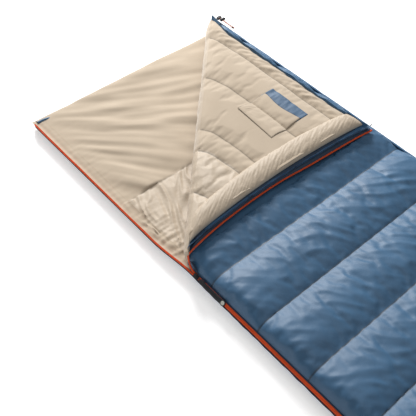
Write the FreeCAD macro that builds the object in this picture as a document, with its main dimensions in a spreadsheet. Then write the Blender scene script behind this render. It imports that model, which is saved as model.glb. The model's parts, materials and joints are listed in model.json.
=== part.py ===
"""Rectangular sleeping bag with a side zip, its top quilt folded open at the head.

The bag lies flat on the floor with its head toward +Y and its zip side toward -X. The origin
is the middle of the footprint, on the floor. Lengths are millimetres.

The pieces of the folded corner are drawn where they lie in the closed bag. Each is then turned
half a turn about the fold line, which runs at 45 degrees across the top quilt.
"""

import FreeCAD, Part
import math
import os
import Sketcher
from FreeCAD import Placement, Rotation, Vector

DOC = FreeCAD.newDocument("SleepingBag")
SHEET = DOC.addObject("Spreadsheet::Sheet", "Sizes")
HALF_ROOT = 0.70711
ZIP_TILT = -45.0

# Shares of a length, and how nearly an edge must run along an axis to be rounded with its row
BAIL_FORWARD = 0.25
SHOULDER_SHARE = 0.45
CORD_BEND_SHARE = 0.45
FLANGE_ROUND = 0.8
ALONG = 0.9


class Dim:
    """A length that knows its value and the spreadsheet expression behind it."""

    def __init__(self, value, text):
        self.value = value
        self.text = text

    def _join(self, sign, other, value):
        return Dim(value, f"({self.text} {sign} {dim(other).text})")

    def __add__(self, other):
        return self._join("+", other, self.value + dim(other).value)

    def __sub__(self, other):
        return self._join("-", other, self.value - dim(other).value)

    def __mul__(self, factor):
        return self._join("*", factor, self.value * factor)

    def __truediv__(self, factor):
        return self._join("/", factor, self.value / factor)

    def __neg__(self):
        return dim(0) - self


def dim(number):
    """A plain number as a Dim; a Dim comes back as it is."""
    return number if isinstance(number, Dim) else Dim(float(number), f"{number:.5f}")


def size(alias, value):
    """Write one driving dimension into the sheet and return it as a Dim."""
    size.row += 1
    cell = f"B{size.row}"
    SHEET.set(f"A{size.row}", alias.replace("_", " "))
    SHEET.set(cell, str(value))
    SHEET.setAlias(cell, alias)
    return Dim(float(value), f"Sizes.{alias}")


size.row = 0

# Whole bag
bag_length = size("bag_length", 2000)
bag_width = size("bag_width", 840)
fold_offset = size("fold_offset", 48)
edge_wall = size("edge_wall", 18)
zip_margin = size("zip_margin", 18)
hem_depth = size("hem_depth", 12)
panel_seam = size("panel_seam", 471)

# Layers of the two quilts
base_shell_thick = size("base_shell_thick", 5)
base_fill_thick = size("base_fill_thick", 22)
base_lining_thick = size("base_lining_thick", 5)
base_undercut = size("base_undercut", 7)
sleeping_gap = size("sleeping_gap", 16)
top_lining_thick = size("top_lining_thick", 5)
top_fill_thick = size("top_fill_thick", 24)
top_shell_thick = size("top_shell_thick", 5)
fold_lift = size("fold_lift", 0.5)
fold_clearance = size("fold_clearance", 0.8)

# Draft tube and zip guard along the zip edge of the top quilt
guard_width = size("guard_width", 20)
guard_thick = size("guard_thick", 2)
tube_width = size("tube_width", 62)
tube_thick = size("tube_thick", 9)
tube_round = size("tube_round", 4)
facing_width = size("facing_width", 34)
facing_thick = size("facing_thick", 1.2)

# Zip chain
chain_out = size("chain_out", 7)
chain_up = size("chain_up", 8)
coil_gap = size("coil_gap", 2.4)
coil_width = size("coil_width", 2.6)
coil_thick = size("coil_thick", 2.6)
tape_thick = size("tape_thick", 0.8)
tape_seam = size("tape_seam", 12)
zip_foot_end = size("zip_foot_end", 70)
zip_head_end = size("zip_head_end", 15)
stop_length = size("stop_length", 6)
stop_thick = size("stop_thick", 3.2)

# Slider and its pull
slider_y = size("slider_y", 180)
slider_length = size("slider_length", 18)
slider_wall = size("slider_wall", 1.6)
slider_clearance = size("slider_clearance", 0.4)
flange_width = size("flange_width", 1.2)
bridge_length = size("bridge_length", 5)
bail_width = size("bail_width", 2)
bail_length = size("bail_length", 8)
bail_height = size("bail_height", 4)
bail_wall = size("bail_wall", 1.2)
pin_radius = size("pin_radius", 0.8)
link_length = size("link_length", 33)
link_thick = size("link_thick", 1.4)
link_arm = size("link_arm", 1.8)
arm_clearance = size("arm_clearance", 0.7)
webbing_width = size("webbing_width", 12)
webbing_thick = size("webbing_thick", 1.8)
webbing_length = size("webbing_length", 71.5)
rim_radius = size("rim_radius", 8.5)
rim_thick = size("rim_thick", 4.4)
rim_grip = size("rim_grip", 3)
disc_radius = size("disc_radius", 6.3)
disc_thick = size("disc_thick", 1.2)

# Pocket on the lining of the folded corner
pocket_left = size("pocket_left", 174)
pocket_head = size("pocket_head", 170)
pocket_width = size("pocket_width", 166)
pocket_depth = size("pocket_depth", 130)
pocket_wall = size("pocket_wall", 2.4)
pocket_room = size("pocket_room", 5.6)
strip_depth = size("strip_depth", 38)
strip_thick = size("strip_thick", 1)

# Drawcord, its exit tab and its lock
cord_radius = size("cord_radius", 1.5)
cord_pitch = size("cord_pitch", 5)
cord_in = size("cord_in", 15)
cord_lift = size("cord_lift", 6)
cord_straight = size("cord_straight", 48)
cord_reach = size("cord_reach", 70)
tab_length = size("tab_length", 10)
tab_width = size("tab_width", 18)
tab_thick = size("tab_thick", 10)
tip_radius = size("tip_radius", 2.3)
tip_length = size("tip_length", 8)
lock_radius = size("lock_radius", 5.8)
lock_length = size("lock_length", 17)
lock_gap = size("lock_gap", 6)
lock_bore_clearance = size("lock_bore_clearance", 0.35)
button_radius = size("button_radius", 4)
button_clearance = size("button_clearance", 0.35)
button_length = size("button_length", 5.5)
button_seat = size("button_seat", 3)
button_travel_room = size("button_travel_room", 2.4)

# Places worked out from the sizes above
left = -(bag_width / 2)
right = bag_width / 2
head = bag_length / 2
foot = -(bag_length / 2)
quilt_left = left + zip_margin
quilt_right = right - edge_wall
quilt_foot = foot + edge_wall
quilt_head = head - hem_depth
fold_c = head - right + fold_offset
lining_seam = head - panel_seam
base_top = base_shell_thick + base_fill_thick + base_lining_thick
top_low = base_top + sleeping_gap
top_high = top_low + top_lining_thick + top_fill_thick + top_shell_thick
fold_z = top_high + fold_lift / 2
zip_x = quilt_left - chain_out
zip_z = base_top + chain_up
guard_low = top_low - guard_thick
tube_left = quilt_left + guard_width
coil_inner = coil_gap / 2
coil_outer = coil_inner + coil_width
zip_foot = foot + zip_foot_end
zip_head = head - zip_head_end


def along_zip(across, out):
    """A point of the zip's section: across its tilted tape, and out from the chain's middle."""
    across, out = dim(across), dim(out)
    return zip_x + (across - out) * HALF_ROOT, zip_z + (across + out) * HALF_ROOT


def bind(item, prop, value):
    """Tie one property of a document object to the sheet."""
    item.setExpression(prop, dim(value).text)


def sketch_on(body, name, role, lift=0):
    """A sketch on one of the body's own origin planes, lifted along the plane's normal."""
    sketch = body.newObject("Sketcher::SketchObject", name)
    plane = next(f for f in body.Origin.OriginFeatures if f.Role == role)
    sketch.AttachmentSupport = [(plane, "")]
    sketch.MapMode = "FlatFace"
    sketch.AttachmentOffset = Placement(Vector(0, 0, dim(lift).value), Rotation())
    bind(sketch, "AttachmentOffset.Base.z", lift)
    return sketch


def pin_down(sketch, geometry, corner, point):
    """Hold one point of a sketch at its distances from the sketch's origin."""
    for kind, value in zip(("DistanceX", "DistanceY"), point):
        value = dim(value)
        index = sketch.addConstraint(
            Sketcher.Constraint(kind, -1, 1, geometry, corner, value.value)
        )
        bind(sketch, f"Constraints[{index}]", value)


def add_loop(sketch, points):
    """A closed polygon whose every corner is tied to the sheet."""
    first, count = sketch.GeometryCount, len(points)
    spots = [Vector(dim(x).value, dim(y).value, 0) for x, y in points]
    for i in range(count):
        sketch.addGeometry(Part.LineSegment(spots[i], spots[(i + 1) % count]))
    for i in range(count):
        after = first + (i + 1) % count
        sketch.addConstraint(Sketcher.Constraint("Coincident", first + i, 2, after, 1))
    for i, point in enumerate(points):
        pin_down(sketch, first + i, 1, point)


def add_circle(sketch, centre, radius):
    """A circle whose centre and radius are tied to the sheet."""
    index = sketch.GeometryCount
    spot = Vector(dim(centre[0]).value, dim(centre[1]).value, 0)
    sketch.addGeometry(Part.Circle(spot, Vector(0, 0, 1), dim(radius).value))
    pin_down(sketch, index, 3, centre)
    held = sketch.addConstraint(Sketcher.Constraint("Radius", index, dim(radius).value))
    bind(sketch, f"Constraints[{held}]", radius)


def new_body(label):
    body = DOC.addObject("PartDesign::Body", label)
    body.Label = label
    return body


def pad(body, sketch, length, midplane=False):
    """Pad a sketch along its plane's normal, or by half the length each way."""
    feature = body.newObject("PartDesign::Pad", sketch.Name + "_pad")
    feature.Profile = sketch
    feature.Midplane = midplane
    bind(feature, "Length", length)
    body.Tip = feature
    return feature


def cut_through(body, sketch):
    """Cut a sketch through the whole body, both ways."""
    feature = body.newObject("PartDesign::Pocket", sketch.Name + "_cut")
    feature.Profile = sketch
    feature.Type = "ThroughAll"
    feature.Midplane = True
    body.Tip = feature
    return feature


def round_edges(body, radius, chosen):
    """Fillet the edges of the body that the test picks out by their middle and direction."""
    DOC.recompute()
    base = body.Tip
    names = []
    for i, edge in enumerate(base.Shape.Edges):
        if edge.Curve.TypeId != "Part::GeomLine":
            continue
        if chosen(edge.CenterOfMass, edge.tangentAt(edge.FirstParameter)):
            names.append(f"Edge{i + 1}")
    feature = body.newObject("PartDesign::Fillet", body.Name + "_round")
    feature.Base = (base, names)
    bind(feature, "Radius", radius)
    body.Tip = feature
    return feature


def slab(label, outline, low, thick):
    """A flat layer: an outline on the floor plane, padded up from a level."""
    body = new_body(label)
    sketch = sketch_on(body, label + "_outline", "XY_Plane", low)
    add_loop(sketch, outline)
    pad(body, sketch, thick)
    return body


def bar(label, section, from_y, to_y):
    """A long piece of one section, from one place along the bag to another."""
    body = new_body(label)
    sketch = sketch_on(body, label + "_section", "XZ_Plane", -dim(to_y))
    add_loop(sketch, section)
    pad(body, sketch, dim(to_y) - from_y)
    return body


def box(x0, x1, y0, y1):
    """The four corners of an upright rectangle."""
    return [(x0, y0), (x1, y0), (x1, y1), (x0, y1)]


def fold_open(body):
    """Turn a piece of the closed bag half a turn about the fold line."""
    body.Placement = Placement(Vector(0, 0, 0), Rotation(Vector(1, 1, 0), 180))
    bind(body, "Placement.Base.x", -fold_c)
    bind(body, "Placement.Base.y", fold_c)
    bind(body, "Placement.Base.z", fold_z * 2)
    return body


def on_slider(item):
    """Place a piece drawn about the slider's middle on the tilted zip chain."""
    item.Placement = Placement(Vector(0, 0, 0), Rotation(Vector(0, 1, 0), ZIP_TILT))
    bind(item, "Placement.Base.x", zip_x)
    bind(item, "Placement.Base.y", slider_y)
    bind(item, "Placement.Base.z", zip_z)
    return item


def fold_at(x, side):
    """The fold line's place along the bag at x, on the flap's side (1) or the other (-1)."""
    return dim(x) + fold_c + fold_clearance * side


def trim_at_fold(body, side):
    """Cut a zip strip to the slant of the fold, keeping the flap's part (1) or the rest (-1)."""
    near, far = left - edge_wall, left + edge_wall * 5
    beyond = head + edge_wall if side < 0 else foot - edge_wall
    sketch = sketch_on(body, body.Name + "_slant", "XY_Plane")
    add_loop(
        sketch,
        [(near, fold_at(near, side)), (far, fold_at(far, side)), (far, beyond), (near, beyond)],
    )
    cut_through(body, sketch)
    return body


# ---- Lower quilt -------------------------------------------------------------------------


def make_base():
    """The lower quilt: its shell, filling, two lining panels and its head hem."""
    shell_left = quilt_left + base_undercut
    fill_left = quilt_left + base_undercut / 2
    slab(
        "base_shell", box(shell_left, quilt_right, quilt_foot, quilt_head), 0, base_shell_thick
    )
    slab(
        "base_fill",
        box(fill_left, quilt_right, quilt_foot, quilt_head),
        base_shell_thick,
        base_fill_thick,
    )
    lining_low = base_shell_thick + base_fill_thick
    for label, from_y, to_y in (
        ("base_lining_fleece", lining_seam, quilt_head),
        ("base_lining_taffeta", quilt_foot, lining_seam),
    ):
        slab(label, box(quilt_left, quilt_right, from_y, to_y), lining_low, base_lining_thick)
    slab("base_head_hem", box(quilt_left, quilt_right, quilt_head, head), 0, base_top)
    slab(
        "base_zip_facing",
        box(quilt_left, quilt_left + facing_width, quilt_foot, quilt_head),
        base_top + tape_thick,
        facing_thick,
    )


def make_edges():
    """The folded long side and the sewn foot, which join the two quilts."""
    side = slab("side_fold", box(quilt_right, right, foot, head), 0, top_high)
    round_edges(
        side,
        edge_wall / 2,
        lambda at, way: abs(way.y) > ALONG and at.x > quilt_right.value + 1,
    )
    end = slab("foot_seam", box(quilt_left, quilt_right, foot, quilt_foot), 0, top_high)
    round_edges(
        end,
        edge_wall / 2,
        lambda at, way: abs(way.x) > ALONG and at.y < quilt_foot.value - 1,
    )


# ---- Upper quilt and the corner that folds open ------------------------------------------


def quilt_outline(side):
    """The upper quilt's outline on the flap's side of the fold (1) or on the other (-1)."""
    corner_left = (quilt_left, fold_at(quilt_left, side))
    corner_head = (quilt_head - fold_c - fold_clearance * side, quilt_head)
    if side > 0:
        return [corner_left, corner_head, (quilt_left, quilt_head)]
    return [
        (quilt_left, quilt_foot),
        (quilt_right, quilt_foot),
        (quilt_right, quilt_head),
        corner_head,
        corner_left,
    ]


def lining_outlines(side):
    """The fleece and taffeta panels of the upper quilt's lining on one side of the fold."""
    seam_at_fold = (lining_seam - fold_c - fold_clearance * side, lining_seam)
    head_at_fold = (quilt_head - fold_c - fold_clearance * side, quilt_head)
    left_at_fold = (quilt_left, fold_at(quilt_left, side))
    if side > 0:
        fleece = [(quilt_left, lining_seam), seam_at_fold, head_at_fold, (quilt_left, quilt_head)]
        return fleece, [left_at_fold, seam_at_fold, (quilt_left, lining_seam)]
    fleece = [seam_at_fold, (quilt_right, lining_seam), (quilt_right, quilt_head), head_at_fold]
    taffeta = [
        (quilt_left, quilt_foot),
        (quilt_right, quilt_foot),
        (quilt_right, lining_seam),
        seam_at_fold,
        left_at_fold,
    ]
    return fleece, taffeta


def strip_outline(side, from_x, to_x):
    """A strip along the zip edge, cut to the slant of the fold."""
    if side > 0:
        ends = (to_x, quilt_head), (from_x, quilt_head)
        return [(from_x, fold_at(from_x, side)), (to_x, fold_at(to_x, side)), *ends]
    ends = (from_x, quilt_foot), (to_x, quilt_foot)
    return [*ends, (to_x, fold_at(to_x, side)), (from_x, fold_at(from_x, side))]


def make_quilt_part(prefix, side):
    """The layers of the upper quilt on one side of the fold, with its draft tube and guard."""
    fill_low = top_low + top_lining_thick
    fleece, taffeta = lining_outlines(side)
    tube_outline = strip_outline(side, tube_left, tube_left + tube_width)
    hem_from = quilt_head - fold_c + fold_clearance * 2
    hem = box(hem_from, quilt_right, quilt_head, head)
    if side > 0:
        hem = box(quilt_left, quilt_head - fold_c - fold_clearance, quilt_head, head)
    tube = slab(prefix + "_draft_tube", tube_outline, top_low - tube_thick, tube_thick)
    round_edges(
        tube,
        tube_round,
        lambda at, way: abs(way.y) > ALONG and at.z < top_low.value - 1,
    )
    return [
        tube,
        slab(prefix + "_shell", quilt_outline(side), fill_low + top_fill_thick, top_shell_thick),
        slab(prefix + "_fill", quilt_outline(side), fill_low, top_fill_thick),
        slab(prefix + "_lining_fleece", fleece, top_low, top_lining_thick),
        slab(prefix + "_lining_taffeta", taffeta, top_low, top_lining_thick),
        slab(prefix + "_head_hem", hem, top_low, top_high - top_low),
        slab(
            prefix + "_zip_guard",
            strip_outline(side, quilt_left, tube_left),
            guard_low,
            guard_thick,
        ),
    ]


# ---- Zip -------------------------------------------------------------------------------


def coil_section(side):
    """One half of the zip coil: above the chain's middle (1) or below it (-1)."""
    half = coil_thick / 2
    corners = ((coil_inner, -half), (coil_outer, -half), (coil_outer, half), (coil_inner, half))
    return [along_zip(across * side, out) for across, out in corners]


def upper_tape_section():
    """The upper tape: from the coil up to the zip guard, then flat beneath it."""
    half = tape_thick / 2
    rise = guard_low - zip_z
    flat_end = quilt_left + tape_seam
    return [
        along_zip(coil_outer, -half),
        (zip_x + rise - tape_thick + tape_thick * HALF_ROOT, guard_low - tape_thick),
        (flat_end, guard_low - tape_thick),
        (flat_end, guard_low),
        (zip_x + rise - tape_thick * HALF_ROOT, guard_low),
        along_zip(coil_outer, half),
    ]


def lower_tape_section():
    """The lower tape: from the coil down to the lining, then flat under its facing."""
    half = tape_thick / 2
    drop = zip_z - base_top
    flat_end = quilt_left + facing_width
    return [
        along_zip(-coil_outer, half),
        (zip_x - drop - tape_thick * HALF_ROOT, base_top),
        (flat_end, base_top),
        (flat_end, base_top + tape_thick),
        (zip_x - drop + tape_thick + tape_thick * HALF_ROOT, base_top + tape_thick),
        along_zip(-coil_outer, -half),
    ]


def make_zip():
    """Tapes, coil halves and stops; returns the pieces that belong to the folded corner."""
    stop_half = stop_thick / 2
    bar("base_zip_tape", lower_tape_section(), quilt_foot, quilt_head)
    bar("base_zip_coil", coil_section(-1), zip_foot, zip_head)
    trim_at_fold(bar("top_zip_tape", upper_tape_section(), quilt_foot, quilt_head), -1)
    trim_at_fold(bar("top_zip_coil", coil_section(1), zip_foot, zip_head), -1)
    flap_tape = trim_at_fold(
        bar("flap_zip_tape", upper_tape_section(), quilt_foot, quilt_head), 1
    )
    flap_coil = trim_at_fold(bar("flap_zip_coil", coil_section(1), zip_foot, zip_head), 1)

    def block(low, high):
        across = ((low, -stop_half), (high, -stop_half), (high, stop_half), (low, stop_half))
        return [along_zip(a, out) for a, out in across]

    bar("zip_foot_stop", block(-coil_outer, coil_outer), zip_foot - stop_length, zip_foot)
    bar("base_zip_stop", block(-coil_outer, -coil_inner), zip_head, zip_head + stop_length)
    flap_stop = bar(
        "flap_zip_stop", block(coil_inner, coil_outer), zip_head, zip_head + stop_length
    )
    return [flap_tape, flap_coil, flap_stop]


# ---- Slider and pull -------------------------------------------------------------------


def make_slider():
    """The slider: two flanged plates about the coil, the bridge between them and the bail."""
    half = slider_length / 2
    plate_in = coil_thick / 2 + slider_clearance
    plate_out = plate_in + slider_wall
    lip = tape_thick / 2 + slider_clearance
    wide_in = coil_outer + slider_clearance
    wide_out = wide_in + flange_width
    slim = coil_inner - slider_clearance
    body = new_body("slider_body")
    bridge = sketch_on(body, "bridge_section", "XZ_Plane", -half)
    add_loop(bridge, box(-slim, slim, -plate_in, plate_in))
    pad(body, bridge, bridge_length)
    for name, sign in (("upper_plate", 1), ("lower_plate", -1)):
        plate = sketch_on(body, name, "XZ_Plane", -half)
        add_loop(
            plate,
            [
                (-wide_out, plate_out * sign),
                (-wide_out, lip * sign),
                (-wide_in, lip * sign),
                (-wide_in, plate_in * sign),
                (wide_in, plate_in * sign),
                (wide_in, lip * sign),
                (wide_out, lip * sign),
                (wide_out, plate_out * sign),
            ],
        )
        pad(body, plate, slider_length)
    round_edges(
        body,
        flange_width * FLANGE_ROUND,
        lambda at, way: abs(way.z) > ALONG and abs(at.x) > wide_out.value - 0.1,
    )
    bail = sketch_on(body, "bail_side", "YZ_Plane")
    bail_top = plate_out + bail_height
    bail_front = bail_length * BAIL_FORWARD
    bail_back = bail_front - bail_length
    add_loop(bail, box(bail_back, bail_front, plate_out, bail_top))
    add_loop(
        bail,
        box(
            bail_back + bail_wall,
            bail_front - bail_wall,
            plate_out + bail_wall / 2,
            bail_top - bail_wall,
        ),
    )
    pad(body, bail, bail_width, midplane=True)
    on_slider(body)
    return plate_out


def make_pull(plate_out):
    """The pull: a metal link, a webbing strip and a round end with a pale disc in it."""
    pivot_y = -(bail_length * BAIL_FORWARD)
    pivot_out = plate_out + bail_wall / 2 + (bail_height - bail_wall * 1.5) / 2
    link = new_body("pull_link")
    pin = sketch_on(link, "link_pin", "YZ_Plane")
    add_circle(pin, (pivot_y, pivot_out), pin_radius)
    inner = bail_width / 2 + arm_clearance
    outer = inner + link_arm
    pad(link, pin, outer * 2, midplane=True)
    plate = sketch_on(link, "link_plate", "XY_Plane", pivot_out - link_thick / 2)
    link_end = pivot_y - link_length
    shoulder = pivot_y - link_length * SHOULDER_SHARE
    grip = webbing_width / 2 + link_arm / 2
    add_loop(
        plate,
        [
            (-outer, pivot_y),
            (-inner, pivot_y),
            (-inner, shoulder + link_arm),
            (inner, shoulder + link_arm),
            (inner, pivot_y),
            (outer, pivot_y),
            (outer, shoulder),
            (grip, shoulder - link_arm * 2),
            (grip, link_end),
            (-grip, link_end),
            (-grip, shoulder - link_arm * 2),
            (-outer, shoulder),
        ],
    )
    slot_half = webbing_width / 2 - link_arm / 4
    add_loop(
        plate, box(-slot_half, slot_half, link_end + link_arm, link_end + link_arm * 2.5)
    )
    pad(link, plate, link_thick)
    on_slider(link)

    strip_end = link_end - webbing_length
    strip = slab(
        "pull_webbing",
        box(-(webbing_width / 2), webbing_width / 2, strip_end, link_end),
        pivot_out - webbing_thick / 2,
        webbing_thick,
    )
    on_slider(strip)
    make_pull_end(pivot_out, strip_end)


def make_pull_end(pivot_out, strip_end):
    """The round rim, cut out for the webbing and for its disc, and the disc."""
    centre_y = strip_end + rim_grip - rim_radius
    rim = new_body("pull_end_rim")
    circle = sketch_on(rim, "rim_circle", "XY_Plane", pivot_out)
    add_circle(circle, (0, centre_y), rim_radius)
    pad(rim, circle, rim_thick, midplane=True)
    seat = sketch_on(rim, "webbing_seat", "YZ_Plane")
    add_loop(
        seat,
        box(
            strip_end,
            strip_end + rim_radius,
            pivot_out - webbing_thick / 2,
            pivot_out + webbing_thick / 2,
        ),
    )
    slot = rim.newObject("PartDesign::Pocket", "webbing_slot")
    slot.Profile = seat
    slot.Midplane = True
    bind(slot, "Length", webbing_width)
    rim.Tip = slot
    recess = sketch_on(rim, "disc_recess", "XY_Plane", pivot_out + rim_thick / 2)
    add_circle(recess, (0, centre_y), disc_radius)
    sink = rim.newObject("PartDesign::Pocket", "disc_sink")
    sink.Profile = recess
    bind(sink, "Length", disc_thick)
    rim.Tip = sink
    on_slider(rim)
    disc = new_body("pull_disc")
    face = sketch_on(disc, "disc_face", "XY_Plane", pivot_out + rim_thick / 2 - disc_thick)
    add_circle(face, (0, centre_y), disc_radius)
    pad(disc, face, disc_thick)
    on_slider(disc)


# ---- Pocket ----------------------------------------------------------------------------


def make_pocket():
    """The patch pocket, open toward the head, and the blue strip sewn above its mouth."""
    near = left + pocket_left
    far = near + pocket_width
    mouth = head - pocket_head
    low = top_low - pocket_room - pocket_wall
    panel = slab(
        "pocket_panel",
        box(near, far, mouth - pocket_depth, mouth),
        low,
        pocket_wall,
    )
    rim = sketch_on(panel, "pocket_sides", "XY_Plane", low + pocket_wall)
    inside = near + pocket_wall, far - pocket_wall
    add_loop(
        rim,
        [
            (near, mouth),
            (near, mouth - pocket_depth),
            (far, mouth - pocket_depth),
            (far, mouth),
            (inside[1], mouth),
            (inside[1], mouth - pocket_depth + pocket_wall),
            (inside[0], mouth - pocket_depth + pocket_wall),
            (inside[0], mouth),
        ],
    )
    pad(panel, rim, pocket_room)
    strip = slab(
        "pocket_strip", box(near, far, mouth, mouth + strip_depth), top_low - strip_thick, strip_thick
    )
    return [panel, strip]


# ---- Drawcord --------------------------------------------------------------------------


def cord_route(offset):
    """The middle line of one drawcord tail: out of the tab, through the lock and down."""
    level = top_high + cord_lift
    x = right - cord_in + offset
    return [
        (x, head - tab_length, level),
        (x, head - tab_length - cord_straight, level),
        (x, head - tab_length - cord_reach, top_high + tip_radius * 2),
    ]


def make_cord(label, offset):
    """One drawcord tail as a tube: straight runs joined by a tangent arc."""
    spots = [Vector(*(c.value for c in point)) for point in cord_route(offset)]
    before, after = spots[1] - spots[0], spots[2] - spots[1]
    half_turn = before.getAngle(after) / 2
    reach = CORD_BEND_SHARE * min(before.Length, after.Length)
    depth = reach / math.tan(half_turn) * (1 / math.cos(half_turn) - 1)
    into, away = Vector(before).normalize(), Vector(after).normalize()
    start, finish = spots[1] - into * reach, spots[1] + away * reach
    middle = spots[1] + (away - into).normalize() * depth
    path = Part.Wire(
        [
            Part.makeLine(spots[0], start),
            Part.Arc(start, middle, finish).toShape(),
            Part.makeLine(finish, spots[2]),
        ]
    )
    profile = Part.Wire([Part.makeCircle(cord_radius.value, spots[0], into)])
    feature = DOC.addObject("Part::Feature", label)
    feature.Label = label
    feature.Shape = path.makePipeShell([profile], True, True)
    tip = DOC.addObject("Part::Feature", label.replace("cord", "cord_tip"))
    tip.Label = tip.Name
    tip.Shape = Part.makeCylinder(tip_radius.value, tip_length.value, spots[2], away)


def make_drawcord():
    """Two cord tails out of their exit tab, with the sprung lock that slides on both."""
    middle_x = right - cord_in
    level = top_high + cord_lift
    slab(
        "cord_exit_tab",
        box(middle_x - tab_width / 2, middle_x + tab_width / 2, head - tab_length, head),
        top_high,
        tab_thick,
    )
    for label, offset in (("cord_a", -(cord_pitch / 2)), ("cord_b", cord_pitch / 2)):
        make_cord(label, offset)

    lock_y = head - tab_length - lock_gap - lock_radius
    bore_radius = cord_radius + lock_bore_clearance
    lock_left = middle_x - cord_pitch / 2 - cord_radius * 2.5
    seat_from = lock_left + lock_length - button_seat - button_travel_room
    lock = new_body("cord_lock_body")
    barrel = sketch_on(lock, "lock_round", "YZ_Plane", lock_left)
    add_circle(barrel, (lock_y, level), lock_radius)
    pad(lock, barrel, lock_length)
    bores = sketch_on(lock, "lock_bores", "XZ_Plane", -lock_y)
    add_circle(bores, (middle_x - cord_pitch / 2, level), bore_radius)
    add_circle(bores, (middle_x + cord_pitch / 2, level), bore_radius)
    cut_through(lock, bores)
    DOC.recompute()
    well = sketch_on(lock, "lock_well", "YZ_Plane", lock_left + lock_length)
    add_circle(well, (lock_y, level), button_radius + button_clearance)
    sink = lock.newObject("PartDesign::Pocket", "button_well")
    sink.Profile = well
    bind(sink, "Length", button_seat + button_travel_room)
    lock.Tip = sink
    button = new_body("cord_lock_button")
    face = sketch_on(button, "button_round", "YZ_Plane", seat_from + button_travel_room)
    add_circle(face, (lock_y, level), button_radius)
    pad(button, face, button_length)


def write_parts():
    """Check every object and write each piece to its own file."""
    DOC.recompute()
    bad = [o.Name for o in DOC.Objects if {"Invalid", "Error"} & set(o.State)]
    if bad:
        raise RuntimeError(f"objects in error: {bad}")
    pieces = [o for o in DOC.Objects if o.TypeId == "PartDesign::Body"]
    pieces += [o for o in DOC.Objects if o.TypeId == "Part::Feature"]
    os.makedirs("parts", exist_ok=True)
    for piece in pieces:
        shape = piece.Shape
        if shape.isNull() or not shape.isValid() or not shape.Solids:
            raise RuntimeError(f"{piece.Label} isn't a valid solid")
        shape.exportStep(f"parts/{piece.Label}.step")


make_base()
make_edges()
make_quilt_part("top", -1)
folded = make_quilt_part("flap", 1)
folded += make_zip()
folded += make_pocket()
for piece in folded:
    fold_open(piece)
make_pull(make_slider())
make_drawcord()
write_parts()
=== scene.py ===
"""Looks of a rectangular sleeping bag whose top corner is folded open over its shell.

Every length is in metres, in the frame's own axes: the head is toward +Y, the zip is on the -X
side, and the floor is at zero height. Pieces of the folded corner are shaped where they lie in
the closed bag and are then turned over the fold line, so that both poses agree.
"""

import json
import logging
import math
from dataclasses import dataclass, field
from enum import Enum

import bpy
import numpy as np
from mathutils import Matrix, Vector


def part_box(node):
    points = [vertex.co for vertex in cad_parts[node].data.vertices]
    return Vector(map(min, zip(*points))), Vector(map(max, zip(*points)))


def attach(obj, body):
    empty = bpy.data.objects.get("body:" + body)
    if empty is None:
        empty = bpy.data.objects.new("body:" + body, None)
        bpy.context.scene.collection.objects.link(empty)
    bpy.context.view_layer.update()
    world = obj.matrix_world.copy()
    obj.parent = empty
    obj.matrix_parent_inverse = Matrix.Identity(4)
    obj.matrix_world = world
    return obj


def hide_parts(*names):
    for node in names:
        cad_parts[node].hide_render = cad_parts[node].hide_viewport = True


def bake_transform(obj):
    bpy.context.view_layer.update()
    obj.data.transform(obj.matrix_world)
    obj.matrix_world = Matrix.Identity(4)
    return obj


LOG = logging.getLogger("sleeping_bag")
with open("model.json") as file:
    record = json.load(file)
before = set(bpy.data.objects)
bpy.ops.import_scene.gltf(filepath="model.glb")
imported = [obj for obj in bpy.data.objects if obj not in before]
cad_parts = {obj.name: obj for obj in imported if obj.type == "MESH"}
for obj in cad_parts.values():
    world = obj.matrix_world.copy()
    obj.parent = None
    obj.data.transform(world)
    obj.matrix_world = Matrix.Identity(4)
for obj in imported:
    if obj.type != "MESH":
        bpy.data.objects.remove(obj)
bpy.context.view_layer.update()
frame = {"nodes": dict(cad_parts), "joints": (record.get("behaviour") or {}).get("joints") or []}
HALF_ROOT = math.sqrt(0.5)

COLUMNS = 100  # grid cells across a quilt
NOISE_CELLS = 128  # the noise repeats after this many cells
SHARP = math.radians(62)  # faces that meet at more than this are shaded apart
HEAD_HEM = 0.012  # from the quilts' head edge to the line that the seams are measured from
QUILT_PITCH = 0.1812  # from one cross seam of the shell to the next
LINING_SEAMS = (0.083, 0.232, 0.409, 0.476, 0.604)  # cross seams of the lining, from the head line
SKIN = 0.0112  # height of the inner face of the lower shell


# ---- Layout ------------------------------------------------------------------------------


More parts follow.
